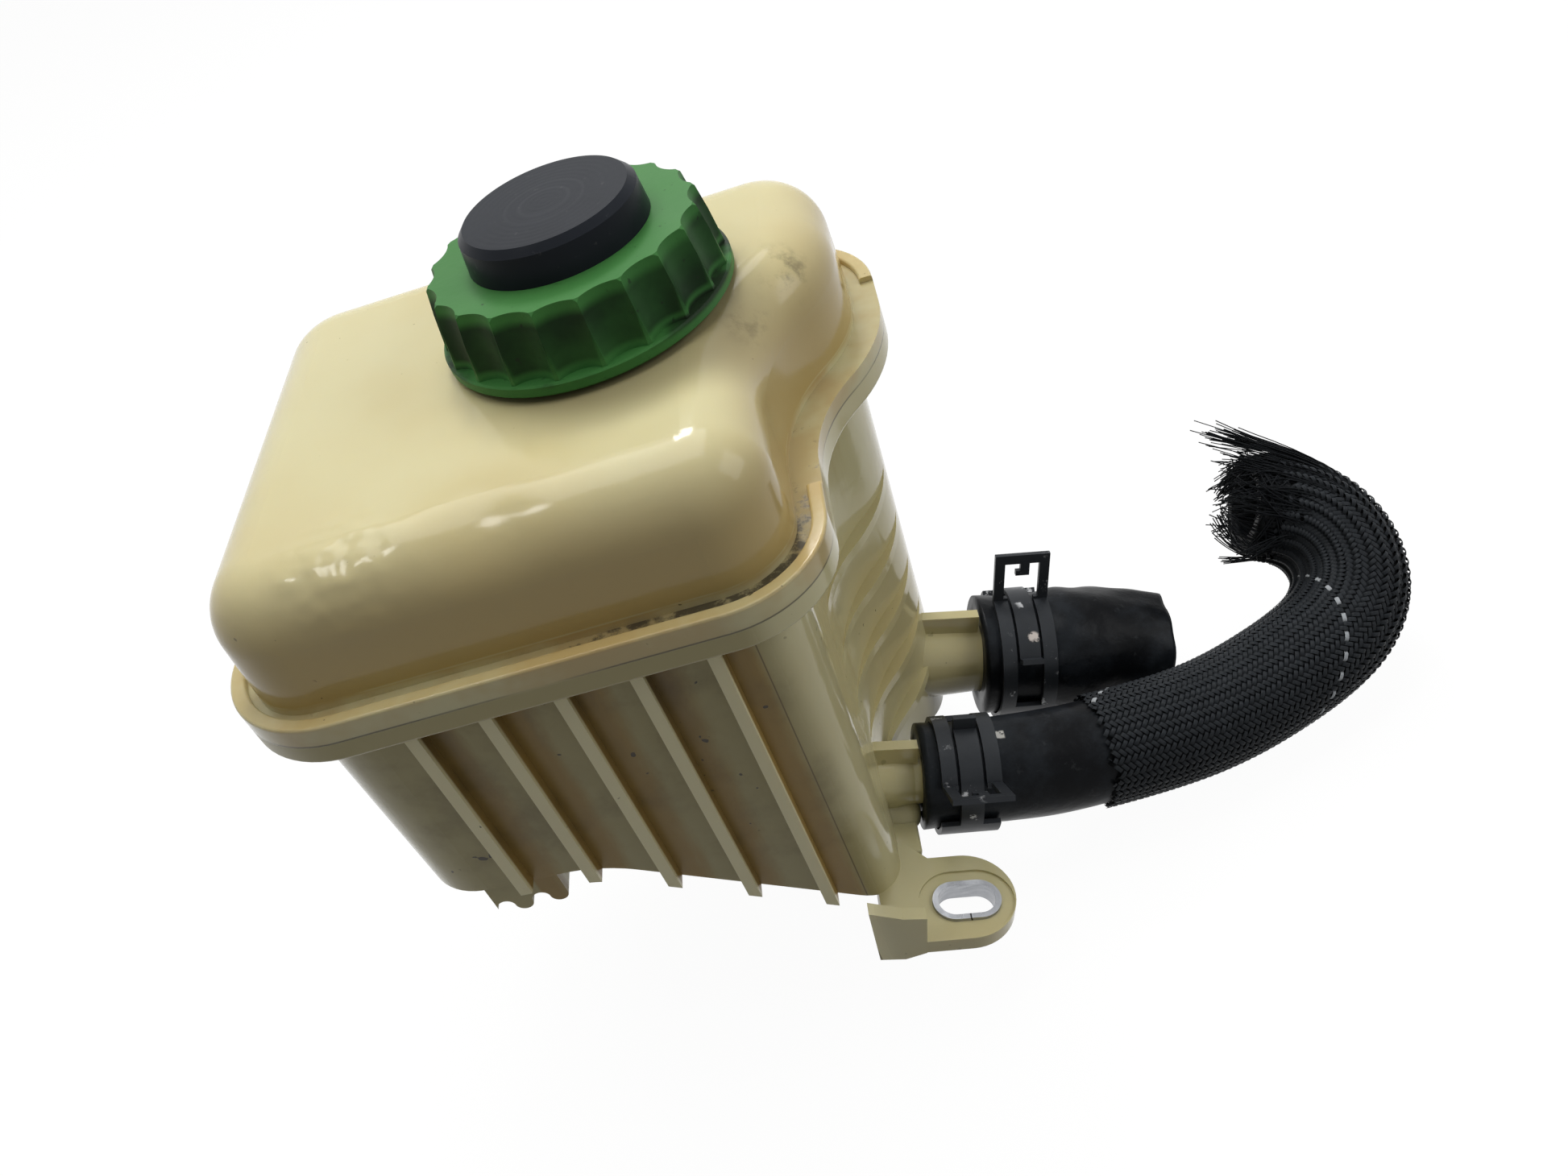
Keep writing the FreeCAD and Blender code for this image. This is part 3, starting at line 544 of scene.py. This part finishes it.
def roundedBlock(bm, place, size, rounding, lean=0):
    made = bmesh.ops.create_cube(bm, size=1.0)["verts"]
    bmesh.ops.scale(bm, verts=made, vec=size)
    edges = list({edge for vert in made for edge in vert.link_edges})
    rounded = bmesh.ops.bevel(
        bm, geom=edges, offset=rounding, segments=4, profile=0.5, affect="EDGES", material=-1
    )
    corners = list({vert for face in rounded["faces"] for vert in face.verts})
    turn = Matrix.Rotation(math.radians(lean), 3, "X")
    bmesh.ops.rotate(bm, verts=corners, cent=(0, 0, 0), matrix=turn)
    bmesh.ops.translate(bm, verts=corners, vec=place)


def makeLug():
    bm = bmesh.new()
    roundedBlock(bm, lug["bossPlace"], lug["bossSize"], lug["bossRound"], lug["bossLean"])
    roundedBlock(bm, lug["webPlace"], lug["webSize"], lug["webRound"])
    bm.transform(returnRoot)
    bmesh.ops.recalc_face_normals(bm, faces=bm.faces[:])
    made = meshFrom("spigotLug", bm)
    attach(made, "tank")
    return made


spigotLug = makeLug()


# finishes
print("finishes")


class Field:
    # a socket that can be used in sums; each sum adds a Math node
    def __init__(self, paint, socket):
        self.paint = paint
        self.socket = socket

    def math(self, operation, *values):
        return self.paint.add("ShaderNodeMath", {"operation": operation}, *values)

    def __add__(self, other):
        return self.math("ADD", self, other)

    def __sub__(self, other):
        return self.math("SUBTRACT", self, other)

    def __rsub__(self, other):
        return self.math("SUBTRACT", other, self)

    def __mul__(self, other):
        return self.math("MULTIPLY", self, other)

    def __pow__(self, other):
        return self.math("POWER", self, other)

    __radd__ = __add__
    __rmul__ = __mul__


class Paint:
    # one material: a Principled shader, the nodes that feed it, and the colour coats so far
    def __init__(self, name, **fixed):
        self.material = bpy.data.materials.new(name)
        self.material.use_nodes = True
        self.tree = self.material.node_tree
        self.shader = self.tree.nodes["Principled BSDF"]
        for key, value in fixed.items():
            self.shader.inputs[key.replace("_", " ")].default_value = value
        self.place = self.add("ShaderNodeTexCoord", {}, output="Object")
        self.base = None

    def add(self, kind, settings, *values, output=0, **named):
        node = self.tree.nodes.new(kind)
        for key, value in settings.items():
            setattr(node, key, value)
        for key, value in [*enumerate(values), *named.items()]:
            self.plug(node.inputs[key if isinstance(key, int) else key.replace("_", " ")], value)
        return Field(self, node.outputs[output])

    def plug(self, socket, value):
        if isinstance(value, Field):
            self.tree.links.new(value.socket, socket)
        else:
            socket.default_value = value

    def split(self, vector):
        node = self.add("ShaderNodeSeparateXYZ", {}, vector).socket.node
        return [Field(self, socket) for socket in node.outputs]

    def axes(self):
        return self.split(self.place)

    def noise(self, scale, detail=3.0, rough=0.5, stretch=None):
        spot = self.place
        if stretch:
            spot = self.add("ShaderNodeMapping", {}, spot, Scale=stretch)
        return self.add(
            "ShaderNodeTexNoise", {}, Vector=spot, Scale=scale, Detail=detail, Roughness=rough
        )

    def wave(self, value):
        return value.math("SINE", value)

    def step(self, value, low, high):
        smooth = {"interpolation_type": "SMOOTHSTEP"}
        return self.add("ShaderNodeMapRange", smooth, value, low, high, 0.0, 1.0)

    def band(self, value, low, high, soft):
        risen = self.step(value, low - soft, low + soft)
        return risen * (1 - self.step(value, high - soft, high + soft))

    def near(self, centre, inner, outer):
        # 1 within the inner distance of a place, fading to 0 at the outer
        apart = {"operation": "DISTANCE"}
        gap = self.add("ShaderNodeVectorMath", apart, self.place, centre, output="Value")
        return 1 - self.step(gap, inner, outer)

    def fromCap(self, x, y):
        # distance from the cap's axis
        x, y = x - capSpot.x, y - capSpot.y
        return (x * x + y * y) ** 0.5

    def mix(self, share, first, second):
        node = self.tree.nodes.new("ShaderNodeMix")
        node.data_type = "RGBA"
        self.plug(node.inputs[0], share)
        for socket, value in ((node.inputs[6], first), (node.inputs[7], second)):
            self.plug(socket, value if isinstance(value, Field) else (*value, 1.0))
        return Field(self, node.outputs[2])

    def coat(self, share, colour):
        # lays a colour over the coats so far, where the share is above 0
        self.base = self.mix(share, self.base, colour)

    def finish(self, roughness, height):
        # the height is in metres
        relief = self.add("ShaderNodeBump", {}, Strength=1.0, Distance=1.0, Height=height)
        inputs = {"Base Color": self.base, "Roughness": roughness, "Normal": relief}
        for name, value in inputs.items():
            self.tree.links.new(value.socket, self.shader.inputs[name])
        return self.material


shell = {
    "pale": (0.625, 0.580, 0.340),
    # painted highlight for the ribs' crests
    "crest": (0.800, 0.740, 0.480),
    "warm": (0.580, 0.505, 0.265),
    # painted shade for the dome's walls, partly the fluid seen through them
    "wallShadeAndFluid": (0.500, 0.368, 0.140),
    "tan": (0.480, 0.330, 0.130),
    "olive": (0.365, 0.315, 0.155),
    "ochre": (0.310, 0.200, 0.052),
    "brown": (0.100, 0.066, 0.022),
    "soot": (0.030, 0.024, 0.017),
    "ribStart": -0.0756,
    "ribPitch": 0.0128,
    "wallLean": 0.0297,             # how far the front wall leans in, for its height
    "partingLine": -0.0182,
    "rimFoot": 0.0895,              # lower edge of the upper half's rim
    "panelTop": (0.0838, 0.0850),
    "domeFoot": (0.0926, 0.0938),
    "domeShoulder": (0.1020, 0.1185),
    "wall": (-0.003, -0.001),       # how far out the front wall and its ribs' crests stand
    "ribCrest": (0.0019, 0.0027),
    "tanSpot": (0.004, 0.052, 0.104),
    "grimeSpot": (-0.018, -0.004, seamHeight),
    "besideCap": (0.001, 0.053, 0.112),
    "farShoulder": (-0.004, 0.040, 0.115),
    # painted shade round the cap's foot, partly dirt
    "capFootShadeAndDirt": (capSpot.x + 0.006, capSpot.y - 0.010, 0.1154),
    "dimple": (-0.050, 0.003, 0.1144),
    "puckers": (-0.073, 0.004, 0.1135),
}


def creamPlastic():
    paint = Paint(
        "creamPlastic",
        Specular_IOR_Level=0.24,
        Subsurface_Weight=0.12,
        Subsurface_Scale=0.003,
        Subsurface_Radius=(1.0, 0.7, 0.35),
    )
    x, y, z = paint.axes()
    patch = paint.noise(24, 4)
    paint.base = paint.mix(paint.step(paint.noise(16, 3), 0.36, 0.68), shell["pale"], shell["warm"])

    # dome: its walls are painted amber, deeper than its top: painted shade of the walls turned from
    # the light, partly the fluid seen through them
    shoulder = paint.near(shell["tanSpot"], 0.006, 0.034) * paint.step(patch, 0.3, 0.7)
    paint.coat(shoulder * 0.35, shell["tan"])
    domeWallShadeAndFluid = 1 - paint.step(z, *shell["domeShoulder"])
    paint.coat(domeWallShadeAndFluid * paint.step(z, *shell["domeFoot"]) * 0.9, shell["wallShadeAndFluid"])

    # bead round the rim: tan, with pale streaks that are painted highlights
    bead = paint.band(z, shell["rimFoot"], seamHeight + 0.0012, 0.0003)
    beadHighlightStreak = paint.step(paint.noise(38, 4, 0.6), 0.40, 0.62)
    paint.coat(bead * 0.6, paint.mix(beadHighlightStreak, shell["pale"], shell["tan"]))

    # lower half: olive panels, a stain at one side of each rib, and crests painted pale as a
    # highlight
    below = 1 - paint.step(z, shell["rimFoot"] - 0.0003, shell["rimFoot"] + 0.0001)
    inPanels = below * (1 - paint.step(z, *shell["panelTop"]))
    outward = (seamHeight - z) * shell["wallLean"] - y
    line = shell["partingLine"]
    front = paint.step(outward, *shell["wall"]) * (1 - paint.step(x, line, line + 0.006))
    paint.coat(below * (front * 0.74 + 0.14), shell["olive"])
    ribbed = paint.band(x, shell["ribStart"] - 0.0015, line, 0.0010)
    ribs = (x - shell["ribStart"]) * (1 / shell["ribPitch"])
    beside = ribs.math("FRACT", ribs)
    streak = paint.noise(75, 5, 0.62, (1.0, 1.0, 0.16))
    fineStreak = paint.noise(260, 5, 0.65, (1.0, 1.0, 0.35))
    edge = beside + (streak - 0.5) * 0.55 + (fineStreak - 0.5) * 0.22
    stain = front * ribbed * paint.step(beside, 0.03, 0.08) * (1 - paint.step(edge, 0.30, 0.60))
    underRim = paint.step(z, 0.050, 0.086) * paint.step(streak, 0.40, 0.62)
    paint.coat(inPanels * stain * 0.95, shell["ochre"])
    paint.coat(inPanels * stain * underRim * 0.7, shell["brown"])
    side = (1 - front) * paint.step(z, 0.010, 0.020) * paint.step(streak, 0.52, 0.76)
    paint.coat(inPanels * side * 0.35, shell["ochre"])
    film = paint.step(paint.noise(48, 5, 0.6), 0.44, 0.70)
    paint.coat(inPanels * front * film * 0.45, shell["brown"])
    # painted highlight: the ribs' crests painted pale, as if catching the light
    crest = paint.step(outward, *shell["ribCrest"])
    paint.coat(inPanels * front * crest * 0.9, shell["crest"])
    parting = paint.band(x, line - 0.00012, line + 0.00012, 0.00007)
    paint.coat(inPanels * parting * front * 0.8, shell["brown"])

    # fold between dome and rim: grime, and a painted highlight along the dome's foot above it
    facing = paint.add("ShaderNodeNewGeometry", {}, output="Normal")
    upFacing = paint.step(paint.split(facing)[2], 0.35, 0.75)
    fold = paint.band(z, seamHeight - 0.0003, seamHeight + 0.0008, 0.0003) * upFacing
    thick = paint.near(shell["grimeSpot"], 0.004, 0.046) * 0.25
    grime = fold * paint.step(paint.noise(240, 6, 0.72) + patch * 0.4 + thick, 0.82, 0.97)
    paint.coat(fold * (thick + 0.20), shell["brown"])
    paint.coat(grime * 0.85, shell["soot"])
    # painted highlight: a pale broken line along the dome's foot
    filletHighlight = paint.band(z, seamHeight + 0.0013, seamHeight + 0.0016, 0.00012)
    paint.coat(filletHighlight * paint.step(paint.noise(110, 4), 0.34, 0.58) * 0.5, shell["pale"])

    # dirt in the welded seam, smudges beside the cap and on the far shoulder, and specks
    seam = paint.band(z, shell["rimFoot"] - 0.0001, shell["rimFoot"] + 0.0002, 0.00012)
    paint.coat(seam * paint.step(patch, 0.30, 0.55) * 0.8, shell["soot"])
    smudge = paint.near(shell["besideCap"], 0.001, 0.008)
    smudge = smudge + paint.near(shell["farShoulder"], 0.001, 0.009)
    paint.coat(smudge * paint.step(paint.noise(130, 6, 0.7), 0.48, 0.68) * 0.6, shell["soot"])
    # painted shade round the foot of the cap's ring, partly dirt: a brown band on the dome just
    # below it
    capFootShadeAndDirt = paint.near(shell["capFootShadeAndDirt"], 0.018, 0.029) * paint.step(z, 0.106, 0.112)
    paint.coat(capFootShadeAndDirt * 0.5, shell["brown"])
    speckle = paint.step(paint.noise(640, 2), 0.74, 0.79) * paint.step(patch, 0.44, 0.60)
    paint.coat(speckle * 0.85, shell["soot"])
    blot = paint.step(paint.noise(380, 1), 0.76, 0.78) * inPanels * (front * 0.7 + 0.3)
    paint.coat(blot * 0.9, shell["soot"])

    # soft moulded waves, a dimple in the dome, and puckers at its left
    dimple = paint.near(shell["dimple"], 0.0, 0.013) * -0.0009
    puckers = paint.near(shell["puckers"], 0.003, 0.016) * paint.noise(190, 1) * 0.0008
    skin = paint.noise(900, 2) * 0.000006 + paint.noise(150, 3) * inPanels * 0.00010
    return paint.finish(
        roughness=paint.noise(95, 4) * 0.07 + grime * 0.3 + below * front * 0.20 + 0.10,
        height=paint.noise(30, 2) * 0.0006 + dimple + puckers + skin,
    )


capFinish = {
    "green": [(0.040, 0.158, 0.038), (0.060, 0.200, 0.052)],
    "fluteShade": (0.005, 0.020, 0.005),
    "ringGrime": (0.008, 0.008, 0.007),
    "ringSpecks": (0.012, 0.02, 0.01),
    "fluteFoot": (0.1192, 0.1205),
    "fluteTop": (0.1272, 0.1292),
    "fluteInner": (0.018, 0.0195),
    "fluteOuter": (0.0246, 0.0258),
    "slate": [(0.010, 0.012, 0.016), (0.019, 0.022, 0.028)],
    "knobRingReflection": (0.035, 0.038, 0.044),
    "knobDust": (0.12, 0.12, 0.12),
}


def greenPlastic():
    paint = Paint("greenPlastic", Specular_IOR_Level=0.10)
    x, y, z = paint.axes()
    radius = paint.fromCap(x, y)
    paint.base = paint.mix(paint.noise(70, 5), *capFinish["green"])
    # the walls between the flutes' crests lie in shade
    flute = 1 - paint.step(radius, *capFinish["fluteOuter"])
    wall = 1 - paint.step(z, *capFinish["fluteTop"])
    wall = wall * paint.step(z, *capFinish["fluteFoot"])
    shade = flute * wall * paint.step(radius, *capFinish["fluteInner"])
    uneven = paint.step(paint.noise(60, 4), 0.3, 0.6) * 0.38 + 0.60
    paint.coat(shade * uneven, capFinish["fluteShade"])
    grime = paint.band(z, 0.1180, 0.1192, 0.0005) * paint.step(paint.noise(55, 5), 0.45, 0.6)
    paint.coat(grime * 0.9, capFinish["ringGrime"])
    paint.coat(paint.step(paint.noise(520, 3), 0.68, 0.76) * 0.75, capFinish["ringSpecks"])
    return paint.finish(
        roughness=paint.noise(80, 4) * 0.2 + 0.34,
        height=paint.noise(300, 4) * 0.00008,
    )


def slatePlastic():
    paint = Paint("slatePlastic", Specular_IOR_Level=0.06)
    x, y, _ = paint.axes()
    radius = paint.fromCap(x, y)
    paint.base = paint.mix(paint.noise(60, 6, 0.65), *capFinish["slate"])
    # painted reflection: two lighter rings on the knob's top
    rings = paint.band(radius, 0.0040, 0.0046, 0.0003)
    rings = rings + paint.band(radius, 0.0066, 0.0070, 0.0003)
    paint.coat(rings * 0.35, capFinish["knobRingReflection"])
    paint.coat(paint.step(paint.noise(500, 3), 0.66, 0.76) * 0.3, capFinish["knobDust"])
    return paint.finish(
        roughness=paint.noise(120, 5) * 0.16 + 0.26,
        height=paint.wave(radius * 5200.0) * 0.000003 + paint.noise(400, 4) * 0.00002,
    )


hoseFinish = {
    "rubber": [(0.004, 0.0045, 0.0055), (0.016, 0.019, 0.023)],
    "dust": (0.08, 0.085, 0.09),
    "mark": (0.50, 0.49, 0.46),
    "markAcross": (0.0128, 0.0154),
    "markDeep": (0.0268, 0.0288),
    "thread": [(0.012, 0.0135, 0.0155), (0.030, 0.034, 0.039)],
    "tracer": (0.36, 0.38, 0.40),
    # painted shade in the braid's gaps, partly dirt
    "gap": (0.0006, 0.0007, 0.0008),
}


def hoseRubber():
    paint = Paint("hoseRubber", Specular_IOR_Level=0.07)
    x, y, z = paint.axes()
    patch = paint.step(paint.noise(55, 6, 0.65), 0.42, 0.66)
    paint.base = paint.mix(patch, *hoseFinish["rubber"])
    dust = paint.step(paint.noise(300, 4, 0.7), 0.60, 0.72)
    paint.coat(dust * 0.18, hoseFinish["dust"])
    # a dab of pale paint on top of the return hose
    mark = paint.band(x, *hoseFinish["markAcross"], 0.0002)
    mark = mark * paint.band(y, *hoseFinish["markDeep"], 0.0002) * paint.step(z, 0.0, 0.002)
    paint.coat(mark * paint.step(paint.noise(900, 3), 0.40, 0.50), hoseFinish["mark"])
    return paint.finish(
        roughness=paint.noise(70, 5) * 0.4 + 0.14,
        height=paint.noise(60, 5) * 0.0009 + paint.noise(1500, 2) * 0.00002,
    )


def braidThread():
    paint = Paint("braidThread", Specular_IOR_Level=0.06)
    mark, slot, over = (
        paint.add("ShaderNodeAttribute", {"attribute_name": name}, output="Fac")
        for name in ("tracer", "acrossStrand", "overStrand")
    )
    paint.base = paint.mix(paint.noise(300, 3), *hoseFinish["thread"])
    paint.coat(mark, hoseFinish["tracer"])
    # painted shade in the gaps, where the strands go under, partly dirt
    gap = 1 - paint.step(over, -0.5, 0.6)
    paint.coat(gap * 0.94, hoseFinish["gap"])
    return paint.finish(
        roughness=paint.noise(200, 3) * 0.16 + gap * 0.4 + 0.28,
        height=paint.wave(slot * 14.0) * 0.000012,
    )


metalFinish = {
    "clamp": [(0.012, 0.014, 0.017), (0.034, 0.038, 0.044)],
    "nick": (0.55, 0.56, 0.58),
    "dab": (0.62, 0.56, 0.52),
    "dabPlace": (0.0272, 0.0553, 0.0089),
    "bush": [(0.50, 0.51, 0.53), (0.20, 0.21, 0.23)],
    "split": (0.03, 0.03, 0.03),
}


def clampSteel():
    paint = Paint("clampSteel", Metallic=0.15, Specular_IOR_Level=0.2)
    paint.base = paint.mix(paint.noise(110, 4), *metalFinish["clamp"])
    nick = paint.step(paint.noise(260, 5, 0.7), 0.60, 0.66)
    nick = nick * paint.step(paint.noise(90, 2), 0.5, 0.6)
    paint.coat(nick, metalFinish["nick"])
    # a dab of pale paint on the suction hose's clamp
    dab = paint.near(metalFinish["dabPlace"], 0.0009, 0.0015)
    paint.coat(dab * paint.step(paint.noise(800, 3), 0.38, 0.52), metalFinish["dab"])
    return paint.finish(
        roughness=paint.noise(150, 4) * 0.22 + 0.28,
        height=paint.noise(350, 4) * 0.00004,
    )


def drawnAluminium():
    paint = Paint("drawnAluminium", Metallic=1.0)
    x, y, _ = paint.axes()
    scratch = paint.noise(240, 5, 0.6, (1.0, 1.0, 6.0))
    paint.base = paint.mix(scratch, *metalFinish["bush"])
    # where the bush's strip meets itself
    split = paint.band(x, 0.0000, 0.0003, 0.00006) * (1 - paint.step(y, -0.002, -0.001))
    paint.coat(split, metalFinish["split"])
    return paint.finish(roughness=scratch * 0.25 + 0.18, height=scratch * 0.00004)


def innerPlastic(name, first, second):
    paint = Paint(name)
    paint.base = paint.mix(paint.noise(90, 4), first, second)
    return paint.finish(
        roughness=paint.noise(60, 3) * 0.2 + 0.4,
        height=paint.noise(500, 3) * 0.00004,
    )


def screenCloth():
    paint = Paint("screenCloth")
    x, _, z = paint.axes()
    threads = paint.wave(x * 9000.0) * paint.wave(z * 9000.0)
    paint.base = paint.mix(paint.step(threads, -0.2, 0.2), (0.20, 0.20, 0.18), (0.55, 0.54, 0.48))
    return paint.finish(roughness=paint.noise(90, 3) * 0.2 + 0.5, height=threads * 0.00008)


def dress(piece, material):
    piece.data.materials.clear()
    piece.data.materials.append(material)


cream = creamPlastic()
rubber = hoseRubber()
thread = braidThread()
steel = clampSteel()
nodeFinishes = {
    "upper_shell": cream,
    "lower_shell": cream,
    "cap_ring": greenPlastic(),
    "cap_knob": slatePlastic(),
    "mounting_bush": drawnAluminium(),
    "suction_clamp": steel,
    "return_clamp": steel,
    "cap_seal": rubber,
    "dipstick": innerPlastic("stickPlastic", (0.02, 0.02, 0.022), (0.035, 0.035, 0.04)),
    "strainer_frame": innerPlastic("whitePlastic", (0.62, 0.60, 0.52), (0.50, 0.46, 0.36)),
    "strainer_mesh": screenCloth(),
}
for name, material in nodeFinishes.items():
    dress(nodes[name], material)
for piece, material in (
    (returnHose, rubber),
    (suctionHose, rubber),
    (spigotLug, cream),
    (sleeve, thread),
    (frayedEnd, thread),
):
    dress(piece, material)


# floor and light
print("floor and light")
studio = {
    "floorDrop": 0.0005,
    "floorSize": 3.0,
    "floorColour": (0.27, 0.27, 0.265, 1),
    "floorGlow": 1.2,     # seen by the camera, with the share below
    "glowShare": 0.8,
    "sky": 0.19,
    "aim": (-0.01, 0.04, 0.04),
    "lamps": {
        "key": {"place": (-0.05, 0.35, 0.95), "size": 0.80, "power": 6.7},
        "side": {"place": (0.75, -0.05, 0.50), "size": 0.50, "power": 2.2},
        "backWindow": {"place": (-0.05, 0.66, 0.75), "size": 0.17, "power": 2.4},
        "leftWindow": {"place": (-0.42, -0.09, 0.93), "size": 0.12, "power": 0.7},
    },
}


def seenRays(tree):
    # 1 for what the camera, a reflection or a clear surface sees
    ray = tree.nodes.new("ShaderNodeLightPath")
    seen = ray.outputs["Is Camera Ray"]
    for kind in ("Is Glossy Ray", "Is Transmission Ray"):
        total = tree.nodes.new("ShaderNodeMath")
        total.operation = "ADD"
        total.use_clamp = True
        tree.links.new(seen, total.inputs[0])
        tree.links.new(ray.outputs[kind], total.inputs[1])
        seen = total.outputs[0]
    return seen


def mixShaders(tree, output, share, first, second):
    mixer = tree.nodes.new("ShaderNodeMixShader")
    tree.links.new(share, mixer.inputs[0])
    tree.links.new(first.outputs[0], mixer.inputs[1])
    tree.links.new(second.outputs[0], mixer.inputs[2])
    tree.links.new(mixer.outputs[0], output.inputs[0])


def makeFloor():
    low = cadBox[0][2] - studio["floorDrop"]
    bm = bmesh.new()
    bmesh.ops.create_grid(bm, x_segments=1, y_segments=1, size=studio["floorSize"])
    bmesh.ops.translate(bm, verts=bm.verts[:], vec=(0, 0, low))
    made = meshFrom("studioFloor", bm, smooth=False)
    material = bpy.data.materials.new("paleFloor")
    material.use_nodes = True
    tree = material.node_tree
    tree.nodes.clear()
    output = tree.nodes.new("ShaderNodeOutputMaterial")
    matt = tree.nodes.new("ShaderNodeBsdfDiffuse")
    glow = tree.nodes.new("ShaderNodeEmission")
    share = tree.nodes.new("ShaderNodeMath")
    share.operation = "MULTIPLY"
    share.inputs[1].default_value = studio["glowShare"]
    matt.inputs["Color"].default_value = studio["floorColour"]
    glow.inputs["Strength"].default_value = studio["floorGlow"]
    tree.links.new(seenRays(tree), share.inputs[0])
    mixShaders(tree, output, share.outputs[0], matt, glow)
    dress(made, material)


def makeWorld():
    world = bpy.data.worlds.new("studioSky")
    world.use_nodes = True
    bpy.context.scene.world = world
    tree = world.node_tree
    tree.nodes.clear()
    output = tree.nodes.new("ShaderNodeOutputWorld")
    sky = tree.nodes.new("ShaderNodeBackground")
    white = tree.nodes.new("ShaderNodeBackground")
    sky.inputs["Strength"].default_value = studio["sky"]
    for ground in (sky, white):
        ground.inputs["Color"].default_value = (1, 1, 1, 1)
    mixShaders(tree, output, seenRays(tree), sky, white)


def addLamp(name, facts):
    data = bpy.data.lights.new(name, "AREA")
    data.size = facts["size"]
    data.energy = facts["power"]
    spot = Vector(facts["place"])
    turn = (Vector(studio["aim"]) - spot).to_track_quat("-Z", "Y")
    addObject(name, data).matrix_world = Matrix.Translation(spot) @ turn.to_matrix().to_4x4()


makeFloor()
makeWorld()
for name, facts in studio["lamps"].items():
    addLamp(name, facts)
bpy.context.scene.view_settings.view_transform = "Standard"
